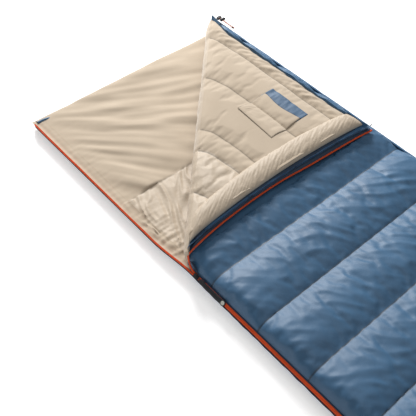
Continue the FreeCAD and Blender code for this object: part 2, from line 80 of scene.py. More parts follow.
@dataclass(frozen=True)
class Layout:
    """Places that the pieces share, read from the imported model's boxes."""

    left: float
    right: float
    foot: float
    head: float
    top_low: float
    top_high: float
    fold_c: float
    fold_z: float
    lining_seam: float
    step: float

    @classmethod
    def read(cls) -> "Layout":
        """Returns: the layout, from the boxes of the quilts and the fold's joint."""
        shell_low, shell_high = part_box("top_shell")
        hinge = next(j for j in frame["joints"] if j["name"] == "corner_fold")
        return cls(
            left=shell_low[0],
            right=shell_high[0],
            foot=shell_low[1],
            head=shell_high[1],
            top_low=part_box("top_lining_taffeta")[0][2],
            top_high=shell_high[2],
            fold_c=hinge["pos_m"][1] - hinge["pos_m"][0],
            fold_z=hinge["pos_m"][2],
            lining_seam=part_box("base_lining_fleece")[0][1],
            step=(shell_high[0] - shell_low[0]) / COLUMNS,
        )

    @property
    def head_line(self) -> float:
        """The line along the head that the quilts' cross seams are measured from."""
        return self.head + HEAD_HEM

    @property
    def rows_below(self) -> int:
        """Grid rows from the foot edge to where the fold meets the zip edge."""
        return int((self.left + self.fold_c - self.foot) / self.step)

    @property
    def rows_above(self) -> int:
        """Grid rows from where the fold meets the zip edge to the head edge."""
        return int(round((self.head - self.left - self.fold_c) / self.step))

    def grid(self) -> tuple[np.ndarray, np.ndarray]:
        """Returns: x and y of a square grid over a quilt, with the fold on its diagonals."""
        start = self.left + self.fold_c
        x = self.left + self.step * np.arange(COLUMNS + 1)
        y = start + self.step * np.arange(-self.rows_below, self.rows_above + 1)
        return np.meshgrid(x, y, indexing="ij")


LAY = Layout.read()


def fold_over(points: np.ndarray) -> np.ndarray:
    """Turn points of the closed bag half a turn about the fold line.

    Args:
        points: positions in the closed bag, with x, y and z on the last axis.

    Returns:
        The same points where they lie with the corner folded open.
    """
    x, y, z = points[..., 0], points[..., 1], points[..., 2]
    return np.stack([y - LAY.fold_c, x + LAY.fold_c, 2 * LAY.fold_z - z], axis=-1)


@dataclass(frozen=True)
class Bow:
    """How far the folded corner's open edges hang back from straight lines."""

    zip_sag: float = 0.025
    zip_reach: float = 0.13
    corner_spread: float = 0.005
    head_sag: float = 0.024
    head_reach: float = 0.085
    fold_ease: float = 0.12
    zip_ease: float = 0.14
    zip_share: float = 0.35


BOW = Bow()


def bow_in(points: np.ndarray) -> np.ndarray:
    """Draw the folded corner's zip and head edges inward, as loose fabric hangs back from them.

    Args:
        points: positions in the closed bag, with x, y and z on the last axis.

    Returns:
        The same points, moved most along the middle of each edge and not past a hand's width.
    """
    low = LAY.left + LAY.fold_c
    along = np.clip((points[..., 1] - low) / (LAY.head - low), 0, 1)
    from_edge = np.clip((points[..., 0] - LAY.left) / BOW.zip_reach, 0, 1)
    out = points.copy()
    sag = BOW.zip_sag * np.sin(np.pi * along**0.85) ** 0.8 - BOW.corner_spread * along**8
    out[..., 0] += sag * (1 - from_edge) ** 2
    to_fold = smoothstep(0.0, BOW.fold_ease, LAY.head - LAY.fold_c - points[..., 0])
    off_zip = smoothstep(0.0, BOW.zip_ease, points[..., 0] - LAY.left)
    to_zip = BOW.zip_share + (1 - BOW.zip_share) * off_zip
    near_head = np.clip((points[..., 1] - LAY.head + BOW.head_reach) / BOW.head_reach, 0, 1.2)
    out[..., 1] -= BOW.head_sag * near_head**1.5 * to_fold * to_zip
    return out


# ---- Noise and grids ---------------------------------------------------------------------


def noise(x: np.ndarray, y: np.ndarray, seed: int) -> np.ndarray:
    """Smooth gradient noise of unit cell size, about -0.7 to 0.7.

    Each grid corner has a random slope, and the four slopes round a place are blended by a
    fifth-power ease.

    Args:
        x: first coordinate of the places, in cells.
        y: second coordinate of the places, in cells.
        seed: number that picks the slopes.

    Returns:
        The noise at each place.
    """
    angle = np.random.default_rng(seed).random((NOISE_CELLS, NOISE_CELLS)) * 2 * np.pi
    xi, yi = np.floor(x).astype(int), np.floor(y).astype(int)
    xf, yf = x - xi, y - yi
    ease_x = xf**3 * (xf * (xf * 6 - 15) + 10)
    ease_y = yf**3 * (yf * (yf * 6 - 15) + 10)

    def corner(dx: int, dy: int) -> np.ndarray:
        """The slope of one corner of a cell, times the way from that corner."""
        turn = angle[(xi + dx) % NOISE_CELLS, (yi + dy) % NOISE_CELLS]
        return np.cos(turn) * (xf - dx) + np.sin(turn) * (yf - dy)

    low = corner(0, 0) * (1 - ease_x) + corner(1, 0) * ease_x
    high = corner(0, 1) * (1 - ease_x) + corner(1, 1) * ease_x
    return low * (1 - ease_y) + high * ease_y


def creases(
    along: np.ndarray, across: np.ndarray, long: float, wide: float, seed: int
) -> np.ndarray:
    """Soft ridges, from 0 in a valley to 1 on a crest, where bent noise passes through zero.

    Args:
        along: coordinate along the ridges.
        across: coordinate across them.
        long: their length, about.
        wide: their spacing, about.
        seed: number that picks the noise.

    Returns:
        The ridges' height at each place.
    """
    bend = noise(along / long, across / long, seed + 1) * 1.2
    value = noise(along / long, across / wide + bend, seed)
    return 1 - np.clip(np.abs(value) * 2.6, 0, 1)


def smoothstep(low: float, high: float, value: np.ndarray) -> np.ndarray:
    """Ease from 0 at low to 1 at high, by the cubic 3t^2 - 2t^3."""
    t = np.clip((value - low) / (high - low), 0, 1)
    return t * t * (3 - 2 * t)


def refine(points: np.ndarray) -> np.ndarray:
    """One step of cubic spline subdivision of a grid of points, with its edges kept.

    Args:
        points: the grid, m by n by 3.

    Returns:
        The grid with a new point between every two: 2m-1 by 2n-1 by 3.
    """
    for axis in (0, 1):
        p = np.moveaxis(points, axis, 0)
        out = np.empty((2 * len(p) - 1, *p.shape[1:]))
        out[0::2] = p
        out[2:-1:2] = (p[:-2] + 6 * p[1:-1] + p[2:]) / 8
        out[1::2] = (p[:-1] + p[1:]) / 2
        points = np.moveaxis(out, 0, axis)
    return points


class Side(Enum):
    """Which part of a quilt's grid a piece takes."""

    WHOLE = 0
    FLAP = 1
    REST = -1


def grid_faces(
    shape: tuple[int, int],
    side: Side = Side.WHOLE,
    diagonal: int = 0,
    keep: np.ndarray | None = None,
) -> list[list[int]]:
    """Faces of a grid, whole or on one side of the fold's diagonal.

    Args:
        shape: the grid's points along x and y.
        side: the part to take.
        diagonal: rows less columns along the fold.
        keep: an optional mask of the cells to take.

    Returns:
        Corner numbers of quads, and of triangles along the fold.
    """
    index = np.arange(shape[0] * shape[1]).reshape(shape)
    a, b, c, d = index[:-1, :-1], index[1:, :-1], index[1:, 1:], index[:-1, 1:]
    i, j = np.indices(a.shape)
    offset = j - i - diagonal
    mask = np.ones(a.shape, bool) if keep is None else keep
    taken = {Side.WHOLE: offset == offset, Side.FLAP: offset > 0, Side.REST: offset < 0}
    whole = mask & taken[side]
    faces = np.stack([a[whole], b[whole], c[whole], d[whole]], axis=1).tolist()
    if side is not Side.WHOLE:
        slant = mask & (offset == 0)
        last = (b, c) if side is Side.REST else (c, d)
        faces += np.stack([a[slant], last[0][slant], last[1][slant]], axis=1).tolist()
    return faces


def sweep_faces(rows: int, size: int, outward: bool) -> list[list[int]]:
    """Faces of a row of closed rings, with a cap on each end.

    Args:
        rows: the number of rings.
        size: the points of each ring.
        outward: False to wind the faces the other way round.

    Returns:
        Corner numbers of the side quads, then of the two caps.
    """
    index = np.arange(rows * size).reshape(rows, size)
    after = np.roll(index, -1, axis=1)
    if outward:
        sides = np.stack([index[:-1], after[:-1], after[1:], index[1:]], axis=-1)
        caps = [index[0][::-1].tolist(), index[-1].tolist()]
    else:
        sides = np.stack([index[:-1], index[1:], after[1:], after[:-1]], axis=-1)
        caps = [index[0].tolist(), index[-1][::-1].tolist()]
    return sides.reshape(-1, 4).tolist() + caps


def make_object(
    name: str, points: np.ndarray, faces: list, material: bpy.types.Material | None
) -> bpy.types.Object:
    """A smooth-shaded mesh object at the origin, in the frame's axes.

    Args:
        name: the piece's name.
        points: its points, in any grid shape.
        faces: corner numbers of its faces.
        material: its material.

    Returns:
        The new object, linked to the scene.
    """
    mesh = bpy.data.meshes.new(name)
    mesh.from_pydata(np.asarray(points).reshape(-1, 3).tolist(), [], faces)
    mesh.update()
    mesh.polygons.foreach_set("use_smooth", np.ones(len(mesh.polygons), bool))
    mesh.set_sharp_from_angle(angle=SHARP)
    obj = bpy.data.objects.new(name, mesh)
    bpy.context.scene.collection.objects.link(obj)
    mesh.materials.append(material)
    LOG.info("%s: %d points, %d faces", name, len(mesh.vertices), len(mesh.polygons))
    return obj


def closed_pad(
    name: str,
    top: np.ndarray,
    bottom: np.ndarray,
    faces: list,
    material: bpy.types.Material,
    seam: np.ndarray | None = None,
) -> bpy.types.Object:
    """A closed piece between an upper grid and a lower one, walled along its outline.

    Args:
        name: the piece's name.
        top: one skin's grid of points.
        bottom: the other skin's grid.
        faces: corner numbers of the skin's faces.
        material: the piece's material.
        seam: an optional 0 to 1 darkening of each grid point, for the material.

    Returns:
        The new object, its faces turned outward.
    """
    count = top.shape[0] * top.shape[1]
    edges = np.concatenate(
        [np.stack([f, np.roll(f, -1, axis=1)], axis=-1).reshape(-1, 2) for f in by_size(faces)]
    )
    keys, back = edges[:, 0] * count + edges[:, 1], edges[:, 1] * count + edges[:, 0]
    rim = edges[~np.isin(keys, back)]
    walls = np.stack([rim[:, 1], rim[:, 0], rim[:, 0] + count, rim[:, 1] + count], axis=1)
    under = [[corner + count for corner in reversed(face)] for face in faces]
    every = faces + under + walls.tolist()
    points = np.concatenate([top.reshape(-1, 3), bottom.reshape(-1, 3)])
    used = np.unique(np.concatenate([np.ravel(f) for f in by_size(every)]))
    place = np.full(2 * count, -1)
    place[used] = np.arange(len(used))
    pad = make_object(name, points[used], [place[f].tolist() for f in every], material)
    fix_normals(pad)
    if seam is not None:
        shade = pad.data.attributes.new("seam", "FLOAT", "POINT")
        shade.data.foreach_set("value", np.tile(seam.ravel(), 2)[used].astype(np.float32))
    return pad


def thin_pad(
    name: str,
    grid: np.ndarray,
    thick: float,
    material: bpy.types.Material,
    seam: np.ndarray | None = None,
) -> bpy.types.Object:
    """A closed strip of fabric: a grid and the same grid lowered by its thickness.

    Args:
        name: the piece's name.
        grid: the upper skin's points.
        thick: how far below it the lower skin lies.
        material: the piece's material.
        seam: an optional 0 to 1 darkening of each grid point.

    Returns:
        The new object.
    """
    under = grid.copy()
    under[..., 2] -= thick
    return closed_pad(name, grid, under, grid_faces(grid.shape[:2]), material, seam)


def fix_normals(obj: bpy.types.Object) -> None:
    """Turn a closed mesh's faces outward if its signed volume is below zero.

    Args:
        obj: the object whose mesh is checked.
    """
    mesh = obj.data
    mesh.calc_loop_triangles()
    points = np.empty(len(mesh.vertices) * 3)
    mesh.vertices.foreach_get("co", points)
    corners = np.empty(len(mesh.loop_triangles) * 3, np.int32)
    mesh.loop_triangles.foreach_get("vertices", corners)
    a, b, c = points.reshape(-1, 3)[corners.reshape(-1, 3)].transpose(1, 0, 2)
    if np.einsum("ij,ij->i", a, np.cross(b, c)).sum() < 0:
        mesh.flip_normals()


def by_size(faces: list) -> list[np.ndarray]:
    """Faces of three and of four corners, as one array for each."""
    groups = [np.array([f for f in faces if len(f) == n]) for n in (3, 4)]
    return [g for g in groups if len(g)]


def tube(
    name: str,
    path: np.ndarray,
    section: np.ndarray,
    material: bpy.types.Material,
    turn: np.ndarray | None = None,
) -> bpy.types.Object:
    """A closed sweep of a section along a path.

    Args:
        name: the piece's name.
        path: the points that the section's origin follows.
        section: corners of the section, sideways and upward.
        material: the piece's material.
        turn: an optional up direction for each point of the path.

    Returns:
        The new object.
    """
    ahead = np.gradient(path, axis=0)
    ahead /= np.linalg.norm(ahead, axis=1, keepdims=True)
    up = np.broadcast_to([0.0, 0.0, 1.0], path.shape) if turn is None else turn
    sideways = np.cross(ahead, up)
    sideways /= np.linalg.norm(sideways, axis=1, keepdims=True)
    upward = np.cross(sideways, ahead)
    section = np.broadcast_to(section, (len(path), *np.shape(section)[-2:]))
    rings = (
        path[:, None]
        + sideways[:, None] * section[..., 0, None]
        + upward[:, None] * section[..., 1, None]
    )
    swept = make_object(name, rings, sweep_faces(*rings.shape[:2], outward=True), material)
    fix_normals(swept)
    return swept


def ring(radius_x: float, radius_y: float, count: int = 12) -> np.ndarray:
    """An ellipse as a section, by the cosine and sine of a turning angle."""
    turn = -np.arange(count) / count * 2 * np.pi
    return np.stack([radius_x * np.cos(turn), radius_y * np.sin(turn)], axis=1)


# ---- Materials -----------------------------------------------------------------------------


class NodeBench:
    """A new material and the few kinds of node that the finishes share."""

    def __init__(self, name: str) -> None:
        """Start a material.

        Args:
            name: the material's name.
        """
        self.material = bpy.data.materials.new(name)
        self.material.use_nodes = True
        self.nodes = self.material.node_tree.nodes
        self.links = self.material.node_tree.links
        self.shader = self.nodes["Principled BSDF"]
        self.place = self.nodes.new("ShaderNodeTexCoord").outputs["Object"]

    def texture(self, kind: str, scale: float, **sockets: float) -> bpy.types.Node:
        """A texture node that reads object coordinates.

        Args:
            kind: "Noise" or "Voronoi".
            scale: its Scale.
            sockets: values of its other inputs.

        Returns:
            The node.
        """
        node = self.nodes.new(f"ShaderNodeTex{kind}")
        for socket, value in {"Scale": scale, **sockets}.items():
            node.inputs[socket].default_value = value
        self.links.new(self.place, node.inputs["Vector"])
        return node

    def ramp(self, fac: bpy.types.NodeSocket, low: tuple, high: tuple, span: tuple) -> bpy.types.Node:
        """A colour ramp of two colours.

        Args:
            fac: the socket that drives it.
            low: red, green and blue at its start.
            high: red, green and blue at its end.
            span: places of its start and end.

        Returns:
            The node.
        """
        node = self.nodes.new("ShaderNodeValToRGB")
        for element, colour, position in zip(node.color_ramp.elements, (low, high), span):
            element.position = position
            element.color = (*colour, 1)
        self.links.new(fac, node.inputs["Fac"])
        return node

    def bump(
        self,
        height: bpy.types.NodeSocket,
        strength: float,
        distance: float,
        below: bpy.types.NodeSocket | None = None,
    ) -> bpy.types.NodeSocket:
        """One bump node, over another one if it is given.

        Args:
            height: the socket that gives the height.
            strength: its Strength.
            distance: its Distance, in metres.
            below: the normal of the bump under it.

        Returns:
            Its normal socket.
        """
        node = self.nodes.new("ShaderNodeBump")
        node.inputs["Strength"].default_value = strength
        node.inputs["Distance"].default_value = distance
        self.links.new(height, node.inputs["Height"])
        if below:
            self.links.new(below, node.inputs["Normal"])
        return node.outputs["Normal"]


@dataclass(frozen=True)
class Cloth:
    """A woven or brushed fabric, drawn with nodes in object coordinates."""

    name: str
    colour: tuple[float, float, float]
    shade: tuple[float, float, float]
    roughness: float = 0.6
    sheen: float = 0.2
    thread: float = 1400.0
    weave: float = 0.15
    crumple: float = 0.0
    crumple_size: float = 26.0
    fuzz: float = 0.0

    def build(self) -> bpy.types.Material:
        """Returns: the material, with patchy colour, weave, crumples and nap."""
        bench = NodeBench(self.name)
        shader = bench.shader.inputs
        shader["Roughness"].default_value = self.roughness
        shader["Sheen Weight"].default_value = self.sheen
        shader["Sheen Roughness"].default_value = 0.5
        patches = bench.texture("Noise", 9.0, Detail=6.0)
        ramp = bench.ramp(patches.outputs["Fac"], self.shade, self.colour, (0.3, 0.7))
        # The "seam" attribute mixes the colour toward a quarter of the shade: stitching and painted shade
        # along seams, and a painted shadow at the pocket's mouth.
        seam = bench.nodes.new("ShaderNodeAttribute")
        seam.attribute_name = "seam"
        darken = bench.nodes.new("ShaderNodeMix")
        darken.data_type = "RGBA"
        bench.links.new(seam.outputs["Fac"], darken.inputs[0])
        bench.links.new(ramp.outputs["Color"], darken.inputs[6])
        darken.inputs[7].default_value = (*(c * 0.25 for c in self.shade), 1)
        bench.links.new(darken.outputs[2], shader["Base Color"])
        crumples = None
        if self.crumple:
            folds = bench.texture("Noise", self.crumple_size, Detail=4.0, Distortion=1.2)
            crumples = bench.bump(folds.outputs["Fac"], self.crumple, 0.004)
        if self.fuzz:
            grain = bench.texture("Noise", 420.0).outputs["Fac"]
        else:
            grain = bench.texture("Voronoi", self.thread).outputs["Distance"]
        normal = bench.bump(grain, self.fuzz or self.weave, 0.0006, crumples)
        bench.links.new(normal, shader["Normal"])
        return bench.material


@dataclass(frozen=True)
class Solid:
    """A moulded or metal surface with fine grain and handled patches."""

    name: str
    colour: tuple[float, float, float]
    roughness: float = 0.4
    metallic: float = 0.0
    grain: float = 0.05
    grain_size: float = 900.0

    def build(self) -> bpy.types.Material:
        """Returns: the material, with varied roughness, colour and a fine grain."""
        bench = NodeBench(self.name)
        shader = bench.shader.inputs
        shader["Metallic"].default_value = self.metallic
        wear = bench.texture("Noise", 140.0).outputs["Fac"]
        span = bench.nodes.new("ShaderNodeMapRange")
        span.inputs["To Min"].default_value = self.roughness * 0.8
        span.inputs["To Max"].default_value = self.roughness * 1.25
        bench.links.new(wear, span.inputs["Value"])
        bench.links.new(span.outputs["Result"], shader["Roughness"])
        worn = tuple(c * 0.8 for c in self.colour)
        ramp = bench.ramp(wear, worn, self.colour, (0.0, 1.0))
        bench.links.new(ramp.outputs["Color"], shader["Base Color"])
        fine = bench.texture("Noise", self.grain_size)
        normal = bench.bump(fine.outputs["Fac"], self.grain, 0.0004)
        bench.links.new(normal, shader["Normal"])
        return bench.material


class Finishes:
    """Every material of the bag, made once."""

    def __init__(self) -> None:
        """Build every material."""
        beige, beige_shade = (0.455, 0.37, 0.275), (0.41, 0.33, 0.242)
        self.shell = Cloth(
            "shell_satin", (0.038, 0.114, 0.215), (0.03, 0.093, 0.178), 0.55, 0.04,
            crumple=0.16, crumple_size=22.0,
        ).build()
        # The pocket strip is the shell's fabric, its blue darkened below the shell's as painted shade.
        self.strip = Cloth(
            "strip_blue", (0.036, 0.092, 0.17), (0.028, 0.075, 0.145), 0.6, 0.05
        ).build()
        self.fleece = Cloth(
            "lining_fleece", beige, beige_shade, 0.95, 0.35, crumple=0.12, crumple_size=9.0, fuzz=0.35
        ).build()
        self.taffeta = Cloth(
            "lining_taffeta", beige, beige_shade, 0.62, 0.15, crumple=0.3, crumple_size=34.0
        ).build()
        self.navy = Cloth("tape_navy", (0.02, 0.045, 0.085), (0.013, 0.03, 0.06), 0.7, 0.1).build()
        self.black = Cloth("webbing_black", (0.006, 0.008, 0.012), (0.004, 0.005, 0.008), 0.7).build()
        self.cord_orange = Cloth(
            "cord_orange", (0.72, 0.09, 0.02), (0.5, 0.12, 0.05), 0.7, thread=500.0, weave=0.5
        ).build()
        self.cord_beige = Cloth(
            "cord_beige", (0.6, 0.5, 0.42), (0.45, 0.3, 0.22), 0.7, thread=500.0, weave=0.5
        ).build()
        self.coil = Solid("coil_orange", (0.92, 0.12, 0.02), 0.5).build()
        self.metal = Solid("metal_dark", (0.08, 0.08, 0.085), 0.35, 0.9, 0.1).build()
        self.plastic = Solid("plastic_black", (0.008, 0.009, 0.011), 0.45).build()
        self.disc = Solid("disc_grey", (0.6, 0.6, 0.54), 0.6).build()


# ---- Cloth simulation ----------------------------------------------------------------------


@dataclass(frozen=True)
class Puff:
    """How a panel of fabric is blown up between its seams."""

    pressure: float = 3.0
    spare: float = 0.03
    frames: int = 22
    bending: float = 0.4
    mass: float = 0.25
    stretch: float = 12
    shear: float = 4
    quality: int = 6

    def run(self, points: np.ndarray, pinned: np.ndarray) -> np.ndarray:
        """Simulate a grid of fabric, held where it is pinned.

        Args:
            points: the grid's points.
            pinned: 1 where a point is held, 0 where it is free.
        """
        scene = bpy.context.scene
        obj = make_object("puff_work", points, grid_faces(points.shape[:2]), None)
        group = obj.vertex_groups.new(name="held")
        group.add(np.flatnonzero(pinned.ravel() > 0.5).tolist(), 1.0, "REPLACE")
        modifier = obj.modifiers.new("cloth", "CLOTH")
        cloth = modifier.settings
        cloth.quality = self.quality
        cloth.mass = self.mass
        cloth.tension_stiffness = cloth.compression_stiffness = self.stretch
        cloth.shear_stiffness = self.shear
        cloth.bending_stiffness = self.bending
        cloth.vertex_group_mass = "held"
        cloth.use_pressure = True
        cloth.uniform_pressure_force = self.pressure
        cloth.shrink_min = -self.spare
        cloth.effector_weights.gravity = 0
        modifier.collision_settings.use_collision = False
        modifier.point_cache.frame_end = self.frames
        for number in range(1, self.frames + 1):
            scene.frame_set(number)
        held = obj.evaluated_get(bpy.context.evaluated_depsgraph_get()).to_mesh()
        out = np.empty(points.size, np.float32)
        held.vertices.foreach_get("co", out)
        scene.frame_set(1)
        bpy.data.objects.remove(obj)
        return out.reshape(points.shape).astype(float)


# ---- Pieces --------------------------------------------------------------------------------


def settle(
    obj: bpy.types.Object, body: str, slot: str, *nodes: str, fill: float | None = None
) -> None:
    """Tie a finished piece to its body and hide the nodes it stands for.

    Args:
        obj: the piece.
        body: the body that it moves with.
        slot: its material slot in the record; not used.
        nodes: the nodes that it replaces.
        fill: how full a padded piece is, or None for one that isn't padded; not used.
    """
    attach(obj, body)
    if nodes:
        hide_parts(*nodes)


def shoulder(distance: np.ndarray, width: float) -> np.ndarray:
    """A rounded edge, a quarter circle: 0 on the outline, 1 from the given width inward."""
    t = np.clip(distance / width, 0, 1)
    return np.sqrt(1 - (1 - t) ** 2)


def groove(distance: np.ndarray, width: float) -> np.ndarray:
    """A sewn valley, an exponential: 1 on the seam, fading over about the given width."""
    return np.exp(-np.abs(distance) / width)


def nearest(y: np.ndarray, seams: list[float]) -> np.ndarray:
    """Distance along the bag to the nearest of some cross seams."""
    return np.min([np.abs(y - seam) for seam in seams], axis=0)


def seam_shade(points: np.ndarray, seams: list[float], width: float) -> np.ndarray:
    """How dark the cross seams are painted at each point, a bell curve round each: the stitching line,
    deepened by painted shade in the seam's valley.
    """
    return np.exp(-((nearest(points[..., 1], seams) / width) ** 2))


def across_cells(y: np.ndarray, seams: list[float]) -> np.ndarray:
    """How far across its quilted channel each place lies.

    Args:
        y: places along the bag, on a grid.
        seams: places of the cross seams.

    Returns:
        0 at the seam toward the foot to 1 at the seam toward the head.
    """
    ends = np.array(sorted([y.min(), *seams, y.max()]))
    cell = np.clip(np.searchsorted(ends, y, side="right") - 1, 0, len(ends) - 2)
    return (y - ends[cell]) / (ends[cell + 1] - ends[cell])


class Surface:
    """A grid of points that other pieces are laid on."""

    def __init__(self, points: np.ndarray) -> None:
        """Keep the grid of points."""
        self.points = points

    def height(self, x: np.ndarray, y: np.ndarray) -> np.ndarray:
        """The surface's height, a straight-line blend of the grid's four nearest points.

        Args:
            x: places across the closed bag.
            y: places along it.

        Returns:
            The height at each place.
        """
        rows, cols = self.points.shape[:2]
        u = (x - LAY.left) / (LAY.right - LAY.left) * (rows - 1)
        low = LAY.left + LAY.fold_c - LAY.rows_below * LAY.step
        v = (y - low) / ((LAY.rows_below + LAY.rows_above) * LAY.step) * (cols - 1)
        i = np.clip(np.floor(u).astype(int), 0, rows - 2)
        j = np.clip(np.floor(v).astype(int), 0, cols - 2)
        fu, fv = np.clip(u - i, 0, 1), np.clip(v - j, 0, 1)
        z = self.points[..., 2]
        near = z[i, j] * (1 - fu) + z[i + 1, j] * fu
        far = z[i, j + 1] * (1 - fu) + z[i + 1, j + 1] * fu
        return near * (1 - fv) + far * fv


def edge_distances(x: np.ndarray, y: np.ndarray) -> tuple[np.ndarray, ...]:
    """Distances inward from the zip, folded, foot and head edges of a quilt.

    Args:
        x: places across the closed bag.
        y: places along it.

    Returns:
        The four distances, in that order.
    """
    top = LAY.left + LAY.fold_c + LAY.rows_above * LAY.step
    low = LAY.left + LAY.fold_c - LAY.rows_below * LAY.step
    return x - LAY.left, LAY.right - x, y - low, top - y


def hold_rows(pinned: np.ndarray, y: np.ndarray, seams: list[float]) -> np.ndarray:
    """Hold the outline of a grid and its rows nearest to the seams.

    Args:
        pinned: an array of zeros in the grid's shape, which is filled in.
        y: places along the bag, on the grid.
        seams: places of the cross seams.

    Returns:
        The same array, with 1 where the fabric is held.
    """
    pinned[[0, -1], :] = 1
    pinned[:, [0, -1]] = 1
    for seam in seams:
        pinned[:, int(np.argmin(np.abs(y[0] - seam)))] = 1
    return pinned


@dataclass
class TopShell:
    """The blue outer shell of the upper quilt, blown up whole and split at the fold."""

    first_seam: float = 0.149
    pitch: float = QUILT_PITCH
    seam_level: float = 0.0700
    arch: float = 0.016
    zip_level: float = 0.0465
    roll: float = 0.042
    cap: float = 0.0812
    ridge: float = 0.0817
    crown: float = 0.0955
    soften: float = 0.006
    fill_level: float = 0.058
    fill_ridge: float = 0.013
    wall: float = 0.004
    unevenness: float = 0.0016
    pucker: float = 0.0009
    seam_cut: float = 0.0020
    wrinkle: float = 0.0034
    fine_wrinkle: float = 0.0011
    edge_ruffle: float = 0.0045
    puff: Puff = field(default_factory=lambda: Puff(pressure=2.2, spare=0.014))

    def seams(self) -> list[float]:
        """Returns: places of the cross seams, from the head to the foot."""
        return [LAY.head_line - self.first_seam - self.pitch * k for k in range(11)]

    def surface(self) -> np.ndarray:
        """Returns: the shell's points in the closed bag."""
        x, y = LAY.grid()
        left, right, foot, head = edge_distances(x, y)
        along = across_cells(y, self.seams())
        inside = self.seam_level + self.arch * (1 - (2 * along - 1) ** 2)
        ends = np.minimum(shoulder(foot, self.roll), shoulder(head, 0.03))
        sides = np.minimum(shoulder(left, self.roll), 0.55 + 0.45 * shoulder(right, 0.03))
        z = self.zip_level + (inside - self.zip_level) * np.minimum(sides, ends)
        z += self.unevenness * noise(x / 0.03, y / 0.02, 3) * np.minimum(sides, ends)
        points = np.stack([x, y, z], axis=-1)
        pinned = hold_rows(np.zeros(x.shape), y, self.seams())
        points = self.puff.run(points, pinned)
        return self.detail(refine(points))

    def detail(self, points: np.ndarray) -> np.ndarray:
        """Add puckers along the seams and long soft wrinkles, and keep the shell in its room.

        Args:
            points: the blown-up grid.

        Returns:
            The grid with its height changed.
        """
        x, y, z = points[..., 0], points[..., 1], points[..., 2]
        left = x - LAY.left
        near = nearest(y, self.seams())
        gather = noise(x / 0.009, y / 0.04, 11) + 0.8 * noise(x / 0.02, y / 0.06, 12)
        z = z + self.pucker * gather * groove(near - 0.004, 0.016) * smoothstep(0.0, 0.006, near)
        z -= self.seam_cut * groove(near, 0.0025)
        slant_a, slant_b = (x + y) * HALF_ROOT, (y - x) * HALF_ROOT
        wrinkles = creases(slant_b, slant_a, 0.17, 0.042, 21) - 0.35
        z += self.wrinkle * wrinkles * smoothstep(0.01, 0.06, near)
        z += self.fine_wrinkle * noise(slant_b / 0.08, slant_a / 0.014, 31) * smoothstep(0.003, 0.03, near)
        edge = groove(left, 0.05)
        z += self.edge_ruffle * noise(y / 0.02, x / 0.09, 41) * edge * smoothstep(0.002, 0.02, left)
        under_flap = (y > LAY.left + LAY.fold_c) & (x < LAY.head - LAY.fold_c + 0.008)
        soft = self.crown - self.soften
        z = np.where(z > soft, soft + self.soften * np.tanh((z - soft) / self.soften), z)
        z = np.where(under_flap, np.minimum(z, self.cap), z)
        from_fold = np.abs(y - x - LAY.fold_c) * HALF_ROOT
        inward = np.minimum(left, LAY.head - y)
        ridge = (1 - smoothstep(0.021, 0.05, from_fold)) * smoothstep(0.01, 0.04, inward)
        z = z + (self.ridge - z) * ridge
        return np.stack([x, y, np.maximum(z, self.zip_level - 0.002)], axis=-1)

    def build(self, finishes: Finishes) -> Surface:
        """Make the two shell pieces.

        Args:
            finishes: the bag's materials.

        Returns:
            The shell's surface in the closed bag.
        """
        top = self.surface()
        flat = top.copy()
        from_fold = np.abs(top[..., 1] - top[..., 0] - LAY.fold_c) * HALF_ROOT
        middle = self.fill_level + self.fill_ridge * (1 - smoothstep(0.0, 0.055, from_fold))
        flat[..., 2] = np.minimum(top[..., 2] - self.wall, middle)
        diagonal = LAY.rows_below * 2
        # Painted shade in the cross seams' valleys, with their stitching.
        seam = seam_shade(top, self.seams(), 0.0026)
        faces = grid_faces(top.shape[:2], Side.REST, diagonal)
        rest = closed_pad("top_shell_cover", top, flat, faces, finishes.shell, seam)
        settle(rest, "bag", "shell_blue", "top_shell", "top_fill", fill=0.8)
        faces = grid_faces(top.shape[:2], Side.FLAP, diagonal)
        outer, inner = fold_over(bow_in(top)), fold_over(bow_in(flat))
        flap = closed_pad("flap_shell_cover", outer, inner, faces, finishes.shell, seam)
        settle(flap, "flap", "shell_blue", "flap_shell", "flap_fill", fill=0.8)
        return Surface(top)


